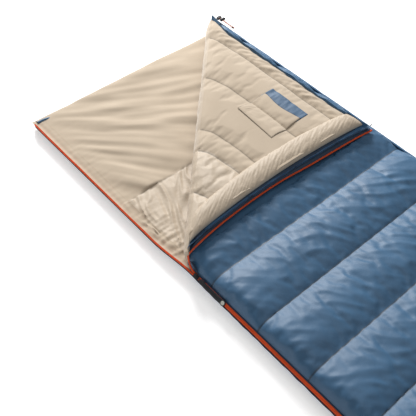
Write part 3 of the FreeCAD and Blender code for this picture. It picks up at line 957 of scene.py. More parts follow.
@dataclass
class FlapLining:
    """The beige lining of the folded corner, quilted, with the roll of fabric at its fold."""

    level: float = 0.0515
    arch: float = 0.0065
    crown: float = 0.0105
    bulge: float = 0.015
    fold_reach: float = 0.05
    drop: float = 0.031
    slide: float = 0.026
    back_level: float = 0.0575
    unevenness: float = 0.0012
    fold_pull: float = 0.0035
    swell: float = 0.002
    seam_cut: float = 0.0018
    pucker: float = 0.0012
    strip_wave: float = 0.0045
    crumple: float = 0.0022
    fine_crumple: float = 0.0012
    tube_gather: float = 0.0025
    puff: Puff = field(default_factory=lambda: Puff(pressure=2.0, spare=0.008))

    def seams(self) -> list[float]:
        """Returns: places of the cross seams, from the head to the foot."""
        return [LAY.head_line - seam for seam in LINING_SEAMS]

    def surface(self) -> np.ndarray:
        """Returns: the lining's points in the closed bag, with its arches between the seams."""
        x, y = LAY.grid()
        along = across_cells(y, self.seams())
        arch = self.arch * np.sqrt(np.clip(1 - (2 * along - 1) ** 2, 0, 1))
        left, _, _, head = edge_distances(x, y)
        z = arch * np.minimum(shoulder(left, 0.03), shoulder(head, 0.025))
        z += self.unevenness * noise(x / 0.04, y / 0.03, 5) * shoulder(left, 0.03)
        pinned = hold_rows(np.zeros(x.shape), y, self.seams())
        points = self.puff.run(np.stack([x, y, z], axis=-1), pinned)
        return self.detail(refine(points), self.seams())

    def detail(self, points: np.ndarray, seams: list[float]) -> np.ndarray:
        """Add seam valleys, wrinkles that run into the fold, and crumpled taffeta.

        Args:
            points: the blown-up grid, its height counted outward from the seams.
            seams: places of the cross seams.

        Returns:
            The lining's points in the closed bag, where outward is down.
        """
        x, y, z = points[..., 0], points[..., 1], points[..., 2]
        near = nearest(y, seams)
        from_fold = (y - x - LAY.fold_c) * HALF_ROOT
        along_fold = (x + y) * HALF_ROOT
        pull = smoothstep(0.0, 0.02, from_fold) * groove(from_fold, 0.16)
        z = z + self.fold_pull * noise(along_fold / 0.035, from_fold / 0.2, 51) * pull
        z += self.swell * noise(x / 0.06, y / 0.05, 52)
        z -= self.seam_cut * groove(near, 0.003)
        z += self.pucker * noise(x / 0.012, y / 0.05, 53) * groove(near - 0.004, 0.012)
        strip = smoothstep(0.0, 0.02, y - seams[0])
        z += strip * self.strip_wave * noise((x + y) / 0.03, (y - x) / 0.14, 57)
        shiny = smoothstep(0.0, 0.01, seams[3] - y)
        z += shiny * self.crumple * (creases(along_fold, from_fold, 0.12, 0.03, 54) - 0.3)
        z += shiny * self.fine_crumple * noise(x / 0.02, y / 0.03, 55)
        z += groove(x - LAY.left - 0.085, 0.03) * self.tube_gather * noise(y / 0.016, x / 0.05, 56)
        out = np.clip(z, -0.002, self.crown)
        edge = smoothstep(0.0, 0.04, x - LAY.left)
        level = self.level + 0.004 * (1 - edge) + self.fold_drop(from_fold)
        return np.stack([x, y, level - out], axis=-1)

    def fold_drop(self, from_fold: np.ndarray) -> np.ndarray:
        """How far the lining has risen toward the fold, a quarter ellipse of the distance.

        Args:
            from_fold: distance from the fold line.

        Returns:
            The rise, added to the lining's height in the closed bag.
        """
        into = np.clip(self.fold_reach - np.abs(from_fold), 0, self.fold_reach)
        share = into / (self.fold_reach + self.bulge)
        return self.drop * (1 - np.sqrt(1 - share**2))

    def build(self, finishes: Finishes) -> Surface:
        """Make the lining pieces of both sides of the fold, and the roll between them.

        Args:
            finishes: the bag's materials.

        Returns:
            The lining's surface in the closed bag.
        """
        low = refine(self.surface())
        inner = low.copy()
        inner[..., 2] = np.maximum(self.back_level, low[..., 2] + 0.0025)
        # Painted shade in the cross seams' valleys, with their stitching.
        seam = seam_shade(low, self.seams(), 0.0018) * 0.8
        low, inner = self.swing(low), self.swing(inner)
        outer_skin, inner_skin = fold_over(bow_in(low)), fold_over(bow_in(inner))
        plain, plain_inner = low[::4, ::4], inner[::4, ::4]
        for name, finish in (("fleece", finishes.fleece), ("taffeta", finishes.taffeta)):
            keep = self.panel(low, name, 4, 0.034)
            faces = grid_faces(low.shape[:2], Side.FLAP, LAY.rows_below * 4, keep)
            flap = closed_pad(f"flap_{name}_cover", outer_skin, inner_skin, faces, finish, seam)
            settle(flap, "flap", f"lining_{name}", f"flap_lining_{name}", fill=0.6)
            keep = self.panel(plain, name, 1, 0.008)
            faces = grid_faces(plain.shape[:2], Side.REST, LAY.rows_below, keep)
            rest = closed_pad(f"top_{name}_cover", plain_inner, self.smooth(plain), faces, finish)
            settle(rest, "bag", f"lining_{name}", f"top_lining_{name}")
        self.make_roll(low, finishes)
        return Surface(low)

    @staticmethod
    def panel(points: np.ndarray, name: str, fine: int, inset: float) -> np.ndarray:
        """The cells of one lining panel, clear of the zip edge.

        Args:
            points: the lining's grid.
            name: "fleece" toward the head or "taffeta" toward the foot.
            fine: cells of the grid along one of the layout's steps.
            inset: the strip left free along the zip edge.

        Returns:
            A mask of the grid's cells.
        """
        rows = np.arange(points.shape[1] - 1)[None] + 0.5 + 0 * points[:-1, :-1, 0]
        seam_row = (LAY.lining_seam - LAY.left - LAY.fold_c) / LAY.step + LAY.rows_below
        head_side = rows > seam_row * fine
        wanted = head_side if name == "fleece" else ~head_side
        return wanted & (points[:-1, :-1, 0] > LAY.left + inset)

    @staticmethod
    def swing(points: np.ndarray) -> np.ndarray:
        """Slide the lining along the fold near it, so that its seams turn as they meet it.

        Args:
            points: a grid in the closed bag.

        Returns:
            The grid, moved most at the fold's middle and not at a hand's width from it.
        """
        x, y = points[..., 0], points[..., 1]
        from_fold = np.clip(np.abs(y - x - LAY.fold_c) * HALF_ROOT / 0.14, 0, 1)
        span = 2 * (LAY.head - LAY.left - LAY.fold_c)
        along = np.clip((x + y - 2 * LAY.left - LAY.fold_c) / span, 0, 1)
        slide = FlapLining.slide * (1 - from_fold) ** 2 * np.sin(np.pi * along) ** 0.7
        out = points.copy()
        out[..., 0] -= slide
        out[..., 1] -= slide
        return out

    def smooth(self, low: np.ndarray) -> np.ndarray:
        """The hidden side of the upper quilt's lining, kept above the sleeping space.

        Args:
            low: the lining's grid.

        Returns:
            The grid, raised to the lowest level allowed.
        """
        flat = low.copy()
        flat[..., 2] = np.maximum(low[..., 2], self.level - 0.004)
        return flat

    def make_roll(self, low: np.ndarray, finishes: Finishes) -> None:
        """The lining where it rolls over the fold, between the two sides.

        Its section is a quarter ellipse above the fold and a quarter circle below it, and its
        size swells and shrinks with noise along the fold.

        Args:
            low: the lining's grid in the closed bag, whose fold row the roll starts from.
            finishes: the bag's materials.
        """
        rows = np.arange(low.shape[0])
        cols = rows + LAY.rows_below * 4
        rows, cols = rows[cols < low.shape[1]], cols[cols < low.shape[1]]
        line = fold_over(low[rows, cols])
        share = np.linspace(0, 1, len(line))
        ends = np.minimum(shoulder(share, 0.05), shoulder(1 - share, 0.04))
        first = math.asin(self.fold_reach / (self.fold_reach + self.bulge))
        upper_turn = np.linspace(first, np.pi / 2 - 0.09, 14)[None, :]
        lower_turn = np.linspace(0, np.pi / 2, 14)[None, :]
        span = self.fold_reach + self.bulge
        out_shape = np.concatenate(
            [span * np.sin(upper_turn) - self.fold_reach, self.bulge * np.cos(lower_turn)], axis=1
        )
        share_up = np.cos(upper_turn) / math.cos(first)
        fall = np.concatenate([share_up, -np.sin(lower_turn)], axis=1)
        wave = 1 + 0.28 * noise(share * 9, share * 0, 61) + 0.12 * noise(share * 34, share * 0, 62)
        swell = (0.35 + 0.65 * ends[:, None]) * wave[:, None]
        around = np.arange(out_shape.shape[1])[None, :] / 28
        ripple = 0.0014 * noise(share[:, None] * 42 + 0 * around, around * 5, 63)
        out = out_shape * swell + ripple * np.sin(around * np.pi)
        x = line[:, 0:1] - out * HALF_ROOT
        y = line[:, 1:2] + out * HALF_ROOT
        middle, lower = LAY.fold_z - 0.0022, 0.0505
        upper = line[:, 2:3]
        z = middle + np.where(fall > 0, (upper - middle) * fall, (middle - lower) * fall) + 0 * out
        ring_points = np.stack([x, y, z], axis=-1)
        back = np.stack([line[:, 0] + 0.002, line[:, 1] - 0.002], axis=1)
        inner = np.concatenate([back, np.full((len(line), 1), 0.0)], axis=1)[:, None]
        inner = np.repeat(inner, 2, axis=1)
        inner[:, 0, 2], inner[:, 1, 2] = 0.056, line[:, 2] - 0.004
        rings = np.concatenate([ring_points, inner], axis=1)
        seam = int(round((LAY.lining_seam - LAY.left - LAY.fold_c) / LAY.step * 4))
        for name, part, finish in (
            ("taffeta", rings[: seam + 1], finishes.taffeta),
            ("fleece", rings[seam:], finishes.fleece),
        ):
            faces = sweep_faces(*part.shape[:2], outward=False)
            roll = make_object(f"fold_roll_{name}", part, faces, finish)
            fix_normals(roll)
            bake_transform(roll)


@dataclass
class BaseQuilt:
    """The lower quilt: the lining that shows under the open corner, and the shell below it."""

    level: float = 0.0265
    lowest: float = 0.012
    highest: float = 0.0358
    floor: float = 0.0115
    spread: float = 0.0095
    head_spread: float = 0.021
    edge_drop: float = 0.006
    swell: float = 0.003
    fan_height: float = 0.0135
    gather_height: float = 0.0055
    ruffle_calm: float = 0.001
    ruffle_near: float = 0.004
    seam_cut: float = 0.0022
    pucker: float = 0.003
    fan: tuple[float, float] = (-0.66, 1.16)
    gather: tuple[float, float] = (-0.385, 0.245)

    def surface(self) -> np.ndarray:
        """Returns: the lining's points, with wrinkles that fan out of the fold."""
        x, y = LAY.grid()
        points = refine(np.stack([x, y, np.zeros(x.shape)], axis=-1))
        x, y = points[..., 0], points[..., 1]
        left, _, _, head = edge_distances(x, y)
        edge = np.minimum(shoulder(left, 0.02), shoulder(head, 0.03))
        z = self.level - self.edge_drop * (1 - edge) + self.swell * noise(x / 0.16, y / 0.12, 71)
        radius = np.hypot(x - self.fan[0], y - self.fan[1])
        turn = np.arctan2(y - self.fan[1], x - self.fan[0])
        fans = noise(turn / 0.12, radius / 0.3, 72) + 0.4 * noise(turn / 0.045, radius / 0.16, 77)
        matte = smoothstep(-0.006, 0.006, y - LAY.lining_seam)
        calm = (0.35 + 0.65 * smoothstep(0.3, 0.6, radius)) * smoothstep(0.005, 0.08, left)
        calm = calm * (0.4 + 0.6 * smoothstep(0.0, 0.06, head))
        z += matte * self.fan_height * fans * calm
        radius = np.hypot(x - self.gather[0], y - self.gather[1])
        turn = np.arctan2(y - self.gather[1], x - self.gather[0])
        pulls = creases(radius, turn, 0.14, 0.13, 73) - 0.35
        pulls += 0.8 * noise(turn / 0.07, radius / 0.09, 78)
        z += (1 - matte) * self.gather_height * pulls * smoothstep(0.0, 0.07, radius)
        ruffle = noise(y / 0.013, x / 0.06, 74) + 0.6 * noise(y / 0.03, x / 0.07, 75)
        near_slider = 1 - smoothstep(0.3, 0.6, y)
        height = self.ruffle_calm + self.ruffle_near * near_slider
        z += height * ruffle * groove(left - 0.03, 0.05)
        z -= self.seam_cut * groove(y - LAY.lining_seam, 0.007)
        pucker = noise(x / 0.014, y / 0.05, 76) * groove(y - LAY.lining_seam + 0.008, 0.015)
        z += (1 - matte) * self.pucker * pucker
        points[..., 2] = np.clip(z, self.lowest, self.highest)
        points[..., 0] -= self.outset(y) * (1 - smoothstep(0.0, 0.09, left))
        points[..., 1] += self.head_spread * smoothstep(0.14, 0.0, head)
        return points

    @staticmethod
    def outset(y: np.ndarray) -> np.ndarray:
        """How far the open zip edge has spread outward, above the slider."""
        return BaseQuilt.spread * smoothstep(0.2, 0.36, y)

    def build(self, finishes: Finishes) -> Surface:
        """Make the lining panels and the shell of the lower quilt.

        Args:
            finishes: the bag's materials.

        Returns:
            The lining's surface.
        """
        top = self.surface()
        inner = top.copy()
        inner[..., 2] = self.floor
        middle = (top[:-1, :-1, 1] + top[1:, 1:, 1]) / 2
        fleece = middle > LAY.lining_seam
        for name, keep, finish in (
            ("fleece", fleece, finishes.fleece),
            ("taffeta", ~fleece, finishes.taffeta),
        ):
            faces = grid_faces(top.shape[:2], Side.WHOLE, 0, keep)
            # Painted shade in the panel seam's valley, with its stitching.
            seam = seam_shade(top, [LAY.lining_seam], 0.0026) * 0.5
            pad = closed_pad(f"base_{name}_cover", top, inner, faces, finish, seam)
            nodes = [f"base_lining_{name}"] + (["base_fill"] if name == "fleece" else [])
            settle(pad, "bag", f"lining_{name}", *nodes, fill=0.5)
        self.make_shell(finishes)
        return Surface(top)

    def make_shell(self, finishes: Finishes) -> None:
        """The shell under the lower quilt, tucked in at the zip side and quilted below.

        Args:
            finishes: the bag's materials.
        """
        x, y = LAY.grid()
        grid = np.stack([x, y, np.zeros(x.shape)], axis=-1)
        left, right, foot, head = edge_distances(x, y)
        edges = np.minimum(
            np.minimum(shoulder(left, 0.035), shoulder(head, 0.03)),
            np.minimum(shoulder(right, 0.02), shoulder(foot, 0.03)),
        )
        near = nearest(y, TopShell().seams())
        lift = 0.004 * groove(near, 0.012) + 0.0012 * (1 + noise(x / 0.03, y / 0.03, 81))
        under = grid.copy()
        under[..., 2] = np.maximum(0.0105 * (1 - edges) + lift * edges, 0)
        grid[..., 2] = SKIN
        faces = grid_faces(grid.shape[:2])
        shell = closed_pad("base_shell_cover", grid, under, faces, finishes.shell)
        settle(shell, "bag", "shell_blue", "base_shell", fill=0.4)


@dataclass
class EdgeWraps:
    """The folded long side, the sewn foot and the head hems."""

    side_depth: float = 0.018
    crest: float = 0.010
    hem_radius: float = 0.006
    lower_hem: tuple[float, float] = (0.012, 0.009)
    upper_hem: tuple[float, float] = (0.064, 0.012)
    corner_lift: float = 0.013

    def wrap(
        self,
        name: str,
        start: tuple[float, float],
        finish: tuple[float, float],
        out: tuple[float, float],
        node: str,
        finishes: Finishes,
    ) -> None:
        """A half-round wall of shell fabric from the floor to the top of the bag.

        Args:
            name: the piece's name.
            start: where it begins, on the floor, at its inner face.
            finish: where it ends.
            out: the unit direction outward.
            node: the frame's node that it stands for.
            finishes: the bag's materials.
        """
        start, finish, out = (np.array([*v, 0.0]) for v in (start, finish, out))
        length = np.linalg.norm(finish - start)
        along = np.linspace(0, 1, int(length / 0.006))[:, None]
        turn = np.linspace(-0.5, 0.5, 21)[None, :] * np.pi
        high = LAY.top_high - self.crest
        wobble = noise(along * length / 0.05 + 0 * turn, turn, 91) * 0.0016
        seams = np.abs((along * length) % QUILT_PITCH - QUILT_PITCH / 2)
        tuck = 0.003 * groove(QUILT_PITCH / 2 - seams, 0.012)
        reach = (self.side_depth - 0.002 - tuck) * np.abs(np.cos(turn)) ** 0.6 + wobble * np.cos(turn)
        z = high / 2 + (high / 2 - 0.001) * np.sin(turn) + 0 * along
        z += wobble * np.cos(turn)
        base = start + (finish - start) * along[..., None]
        rings = base + out * reach[..., None]
        rings[..., 2] = z
        faces = sweep_faces(*rings.shape[:2], outward=False)
        piece = make_object(name, rings, faces, finishes.shell)
        fix_normals(piece)
        settle(piece, "bag", "shell_blue", node, fill=0.6)

    def build(self, finishes: Finishes) -> None:
        """Make the two wraps and the three hems along the head edge.

        Args:
            finishes: the bag's materials.
        """
        low = LAY.foot - 0.014
        side = (LAY.right - 0.002, low + 0.008), (LAY.right - 0.002, LAY.head + 0.008)
        self.wrap("side_fold_cover", *side, (1, 0), "side_fold", finishes)
        foot = (LAY.left + 0.004, LAY.foot + 0.002), (LAY.right + 0.006, LAY.foot + 0.002)
        self.wrap("foot_seam_cover", *foot, (0, -1), "foot_seam", finishes)
        fold = LAY.head - LAY.fold_c
        self.hem("base_head_hem", "bag", (LAY.left - 0.004, LAY.right), self.lower_hem, finishes)
        self.hem("top_head_hem", "bag", (fold + 0.003, LAY.right), self.upper_hem, finishes)
        self.hem("flap_head_hem", "flap", (LAY.left, fold - 0.003), self.upper_hem, finishes)

    def hem(
        self,
        node: str,
        body: str,
        span: tuple[float, float],
        level_half: tuple[float, float],
        finishes: Finishes,
    ) -> None:
        """A rolled hem along the head edge, in the closed bag, turned over if it is folded.

        Args:
            node: the frame's node that it stands for.
            body: the body that it moves with.
            span: its ends across the bag.
            level_half: the height of its middle, and half its height.
            finishes: the bag's materials.
        """
        level, half = level_half
        x = np.linspace(*span, int((span[1] - span[0]) / 0.004) + 2)
        y = np.full(x.shape, LAY.head + 0.003) + 0.001 * noise(x / 0.05, x * 0, 95)
        path = np.stack([x, y, level + 0.0015 * noise(x / 0.07, x * 0, 96)], axis=1)
        if node == "base_head_hem":
            path[:, 2] += self.corner_lift * smoothstep(-0.33, -0.39, x)
        if body == "flap":
            path = fold_over(bow_in(path))
        piece = tube(f"{node}_roll", path, ring(self.hem_radius, half, 16), finishes.shell)
        settle(piece, body, "shell_blue", node, fill=0.5)


# ---- Zip, trims and small parts -----------------------------------------------------------------


def middle_of(node: str) -> np.ndarray:
    """Returns: the middle of a node's box."""
    low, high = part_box(node)
    return (np.array(low) + np.array(high)) / 2


def walk(points: list, count: int) -> np.ndarray:
    """Evenly spaced points on a smooth line, cubic Hermite, through a few chosen ones.

    Args:
        points: the places that it passes through.
        count: the number of points wanted.

    Returns:
        The points, count by 3.
    """
    knots = np.array(points, float)
    gaps = np.linalg.norm(np.diff(knots, axis=0), axis=1) ** 0.5
    times = np.concatenate([[0], np.cumsum(gaps)])
    slopes = np.gradient(knots, times, axis=0)
    fine = np.linspace(0, times[-1], count * 4)
    k = np.clip(np.searchsorted(times, fine, side="right") - 1, 0, len(knots) - 2)
    span = (times[k + 1] - times[k])[:, None]
    t = (fine - times[k])[:, None] / span
    line = (
        (2 * t**3 - 3 * t**2 + 1) * knots[k]
        + (t**3 - 2 * t**2 + t) * span * slopes[k]
        + (3 * t**2 - 2 * t**3) * knots[k + 1]
        + (t**3 - t**2) * span * slopes[k + 1]
    )
    run = np.concatenate([[0], np.cumsum(np.linalg.norm(np.diff(line, axis=0), axis=1))])
    even = np.linspace(0, run[-1], count)
    return np.stack([np.interp(even, run, line[:, axis]) for axis in range(3)], axis=1)


@dataclass(frozen=True)
class Coil:
    """A spiral of plastic wire that forms one half of the zip."""

    radius: float = 0.0021
    pitch: float = 0.0026
    wire: float = 0.00105
    turns_in: int = 10

    def build(
        self, name: str, path: np.ndarray, finish: bpy.types.Material, phase: float = 0.0
    ) -> bpy.types.Object:
        """Make the coil, a helix about a path.

        Args:
            name: the piece's name.
            path: evenly spaced points along its middle.
            finish: its material.
            phase: the helix's turn at the start.

        Returns:
            The new object.
        """
        ahead = np.gradient(path, axis=0)
        ahead /= np.linalg.norm(ahead, axis=1, keepdims=True)
        length = np.linalg.norm(np.diff(path, axis=0), axis=1).sum()
        count = int(length / self.pitch * self.turns_in)
        at = np.linspace(0, len(path) - 1, count)
        spot, way = (
            np.stack([np.interp(at, np.arange(len(path)), p[:, k]) for k in range(3)], axis=1)
            for p in (path, ahead)
        )
        out = np.cross(way, [0.0, 0.0, 1.0])
        out /= np.linalg.norm(out, axis=1, keepdims=True)
        up = np.cross(out, way)
        turn = (np.arange(count) / self.turns_in * 2 * np.pi + phase)[:, None]
        line = spot + self.radius * (np.cos(turn) * out + np.sin(turn) * up)
        return tube(name, line, ring(self.wire, self.wire, 4), finish, turn=way)


@dataclass
class ZipParts:
    """The coils, their tapes and guards, the draft tubes and the facing."""

    strip: float = 0.030
    facing_thick: float = 0.0022
    guard_thick: float = 0.0012
    guard_reach: float = 0.052
    tape_thick: float = 0.0014
    tube_start: float = 0.0185
    tube_width: float = 0.064
    tube_level: float = 0.0462
    tube_back: float = 0.0535
    tube_room: float = 0.0115
    closed_room: float = 0.0045
    tube_bow: tuple[float, float] = (0.024, 0.033)
    tube_wrinkle: float = 0.0014
    coil: Coil = field(default_factory=Coil)

    def build(self, base: Surface, finishes: Finishes) -> None:
        """Make every strip along the zip edge.

        Args:
            base: the lower quilt's lining.
            finishes: the bag's materials.
        """
        self.coils(finishes)
        self.facing(base, finishes)
        self.draft_tube("flap_draft_tube", "flap", finishes)
        self.draft_tube("top_draft_tube", "bag", finishes)
        self.guard("flap_zip_guard", "flap", ("flap_zip_guard", "flap_zip_tape"), finishes)
        self.guard("top_zip_guard", "bag", ("top_zip_guard", "top_zip_tape"), finishes)
        self.base_tape(finishes)

    @staticmethod
    def flap_edge(count: int) -> np.ndarray:
        """The zip's line along the folded corner, from the fold to the free corner.

        Args:
            count: the number of points wanted.

        Returns:
            The line's points, where the corner lies folded open.
        """
        y0, z0 = LAY.left + LAY.fold_c, LAY.fold_z
        end = LAY.head - LAY.fold_c
        return walk(
            [
                (LAY.left + 0.001, y0 + 0.001, z0 + 0.001),
                (LAY.left + 0.010, y0 + 0.000, z0 + 0.010),
                (LAY.left + 0.04, y0 + 0.003, z0 + 0.016),
                (LAY.left + 0.12, y0 + 0.013, z0 + 0.018),
                (LAY.left + 0.25, y0 + 0.021, z0 + 0.018),
                (LAY.left + 0.38, y0 + 0.021, z0 + 0.018),
                (LAY.left + 0.50, y0 + 0.011, z0 + 0.018),
                (end - 0.05, y0 - 0.003, z0 + 0.018),
                (end + 0.006, y0 - 0.010, z0 + 0.017),
            ],
            count,
        )

    def coils(self, finishes: Finishes) -> None:
        """Make the three coil halves; the upper one climbs to the fold past the slider.

        Args:
            finishes: the bag's materials.
        """
        lower, upper = middle_of("base_zip_coil"), middle_of("top_zip_coil")
        start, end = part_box("base_zip_coil")[0][1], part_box("base_zip_coil")[1][1]
        y = np.linspace(start, end, 600)
        sway = 0.0012 * noise(y / 0.11, y * 0, 101) * smoothstep(0.19, 0.3, y)
        spread = BaseQuilt.outset(y)
        path = np.stack([lower[0] + sway - spread, y, lower[2] + sway - spread / 2], axis=1)
        base = self.coil.build("base_coil_spiral", path, finishes.coil)
        settle(base, "bag", "coil_orange", "base_zip_coil")
        slider = middle_of("slider_body")[1]
        climb = [
            (upper[0], start, upper[2]),
            (upper[0], slider - 0.03, upper[2]),
            (upper[0] + 0.0005, slider + 0.008, upper[2] + 0.001),
            (LAY.left - 0.005, slider + 0.026, upper[2] + 0.012),
            (LAY.left - 0.002, slider + 0.039, LAY.fold_z - 0.012),
            (LAY.left + 0.001, LAY.left + LAY.fold_c, LAY.fold_z),
        ]
        top = self.coil.build("top_coil_spiral", walk(climb, 700), finishes.coil, math.pi)
        settle(top, "bag", "coil_orange", "top_zip_coil")
        flap = self.coil.build("flap_coil_spiral", self.flap_edge(500), finishes.coil)
        settle(flap, "flap", "coil_orange", "flap_zip_coil")

    def guard(self, name: str, body: str, nodes: tuple[str, str], finishes: Finishes) -> None:
        """The navy strip between the draft tube and the coil, ruled from edge to edge.

        Args:
            name: the piece's name.
            body: the body that it moves with.
            nodes: the frame's nodes that it stands for.
            finishes: the bag's materials.
        """
        if body == "flap":
            outer = self.flap_edge(220)
            inner = outer.copy()
            start = LAY.left + LAY.fold_c
            ease = smoothstep(LAY.left, LAY.left + 0.1, outer[:, 0])
            inner[:, 1] = start + 0.001 + self.guard_reach * ease
            inner[:, 0] = np.maximum(outer[:, 0], LAY.left + 0.022 * ease)
            inner[:, 2] = outer[:, 2] + 0.007 * ease
        else:
            y = np.linspace(LAY.foot + 0.01, LAY.left + LAY.fold_c - 0.012, 300)
            rise = smoothstep(y.max() - 0.05, y.max(), y)
            upper = middle_of("top_zip_coil")
            outer = np.stack([upper[0] + 0.002 + 0 * y, y, upper[2] + 0.001 + 0.03 * rise], axis=1)
            inner = np.stack([LAY.left + 0.022 + 0 * y, y, LAY.top_low - 0.001 + 0 * y], axis=1)
        share = np.linspace(0, 1, 7)[None, :, None]
        grid = outer[:, None] * (1 - share) + inner[:, None] * share
        ripple = noise(grid[..., 0] / 0.05 + grid[..., 1] / 0.05, share[..., 0] * 2, 111)
        belly = np.sin(share[..., 0] * np.pi)
        grid[..., 2] += (0.0015 * ripple + (0.003 if body == "flap" else 0)) * belly
        piece = thin_pad(f"{name}_strip", grid, self.guard_thick, finishes.navy)
        settle(piece, body, "tape_navy", *nodes)

    def facing(self, base: Surface, finishes: Finishes) -> None:
        """The strip of lining along the lower coil, with its two rows of stitching.

        Args:
            base: the lower quilt's lining, which it is laid on.
            finishes: the bag's materials.
        """
        y = np.linspace(LAY.foot + 0.002, LAY.head - 0.001, 900)
        x = LAY.left + np.linspace(-0.0075, self.strip, 9)
        grid_x, grid_y = np.meshgrid(x, y, indexing="ij")
        inside = np.maximum(grid_x, LAY.left + 0.006)
        spread = BaseQuilt.outset(grid_y)
        z = base.height(inside, np.minimum(grid_y, LAY.head)) + 0.0016
        outward = smoothstep(LAY.left + 0.008, LAY.left - 0.0075, grid_x)
        z = z * (1 - outward) + (middle_of("base_zip_coil")[2] - 0.0035 - spread / 2) * outward
        z += 0.0009 * noise(grid_y / 0.016, grid_x / 0.02, 121)
        z -= 0.0008 * groove(grid_x - LAY.left - 0.004, 0.0015)
        z -= 0.0008 * groove(grid_x - LAY.left - self.strip + 0.005, 0.0015)
        reach = grid_y + 0.018 * smoothstep(LAY.head - 0.14, LAY.head, grid_y)
        grid = np.stack([grid_x - spread, reach, z], axis=-1)
        piece = thin_pad("base_facing_strip", grid, self.facing_thick, finishes.fleece)
        settle(piece, "bag", "lining_taffeta", "base_zip_facing")

    def base_tape(self, finishes: Finishes) -> None:
        """The dark tape under the lower coil, a little uneven along its outer edge.

        Args:
            finishes: the bag's materials.
        """
        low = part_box("base_zip_tape")[0]
        y = np.linspace(LAY.foot + 0.004, LAY.head - 0.002, 500)
        share = np.linspace(0, 1, 6)[:, None]
        closed = 1 - smoothstep(0.15, 0.2, y)
        jut = closed * (0.0015 + 0.0022 * noise(y / 0.028, y * 0, 131))
        spread = BaseQuilt.outset(y)
        outer_x = low[0] + 0.0035 - jut + 0.002 * (1 - closed) - spread
        grid_x = outer_x[None] * (1 - share) + (LAY.left + 0.004) * share
        z = middle_of("base_zip_coil")[2] - 0.0032 - 0.006 * (share - 0.15) ** 2 - 0.0015 * closed
        z = z - spread / 2 - 0.0055 * (1 - closed)
        grid = np.stack([grid_x, np.broadcast_to(y, grid_x.shape), z + 0 * grid_x], axis=-1)
        piece = thin_pad("base_tape_strip", grid, self.tape_thick, finishes.navy)
        settle(piece, "bag", "tape_navy", "base_zip_tape")

    def draft_tube(self, node: str, body: str, finishes: Finishes) -> None:
        """The padded tube along the zip edge of the lining, cut to the slant of the fold.

        Its section is a flattened dome, wrinkled lengthways and on the slant.

        Args:
            node: the frame's node that it stands for.
            body: the body that it moves with.
            finishes: the bag's materials.
        """
        across = np.linspace(0, 1, 33)[:, None]
        x = LAY.left + self.tube_start + self.tube_width * across
        if body == "flap":
            start, end = x + LAY.fold_c - 0.004, LAY.head + 0.0015
            along = np.linspace(0, 1, 380)[None]
        else:
            start, end = LAY.foot + 0.006 + 0 * x, x + LAY.fold_c - 0.003
            along = np.linspace(0, 1, 500)[None]
        y = start + (end - start) * along
        x = x + 0 * y
        from_fold = (y - x - LAY.fold_c) * HALF_ROOT
        floor = self.tube_level + FlapLining().fold_drop(from_fold) + 0.006 * (1 - across) ** 2
        floor = np.minimum(floor, 0.0625)
        ends = np.sqrt(np.clip(np.minimum(along * 22, (1 - along) * 30), 0, 1))
        dome = np.clip(1 - (2 * across - 1) ** 2, 0, 1) ** 0.55
        wave = 1 + 0.16 * noise(y / 0.09, x / 0.05, 141) + 0.06 * noise(y / 0.014, x / 0.06, 142)
        room = self.tube_room if body == "flap" else self.closed_room
        proud = room * dome * wave * ends
        gather = noise(y / 0.012, x / 0.03, 143)
        proud += self.tube_wrinkle * gather * groove(across - 0.93, 0.12) * ends
        slant = noise((x + y) / 0.05, (y - 2 * x) / 0.013, 144)
        proud += self.tube_wrinkle * slant * smoothstep(0, 0.2, dome) * ends
        grid = np.stack([x, y, floor - 0.0004 - proud], axis=-1)
        back = grid.copy()
        back[..., 2] = np.maximum(floor + 0.001, self.tube_back)
        outer, inner = self.tube_bow
        bow = np.sin(np.pi * along) ** 0.8 * (outer * (1 - across) + inner * across)
        for points in (grid, back):
            points[..., 0] += bow if body == "flap" else 0
        if body == "flap":
            for points in (grid, back):
                points[..., 1] = bow_in(points)[..., 1]
            grid, back = fold_over(grid), fold_over(back)
        faces = grid_faces(grid.shape[:2])
        piece = closed_pad(f"{node}_cover", grid, back, faces, finishes.taffeta)
        settle(piece, body, "lining_fleece", node, fill=0.8)


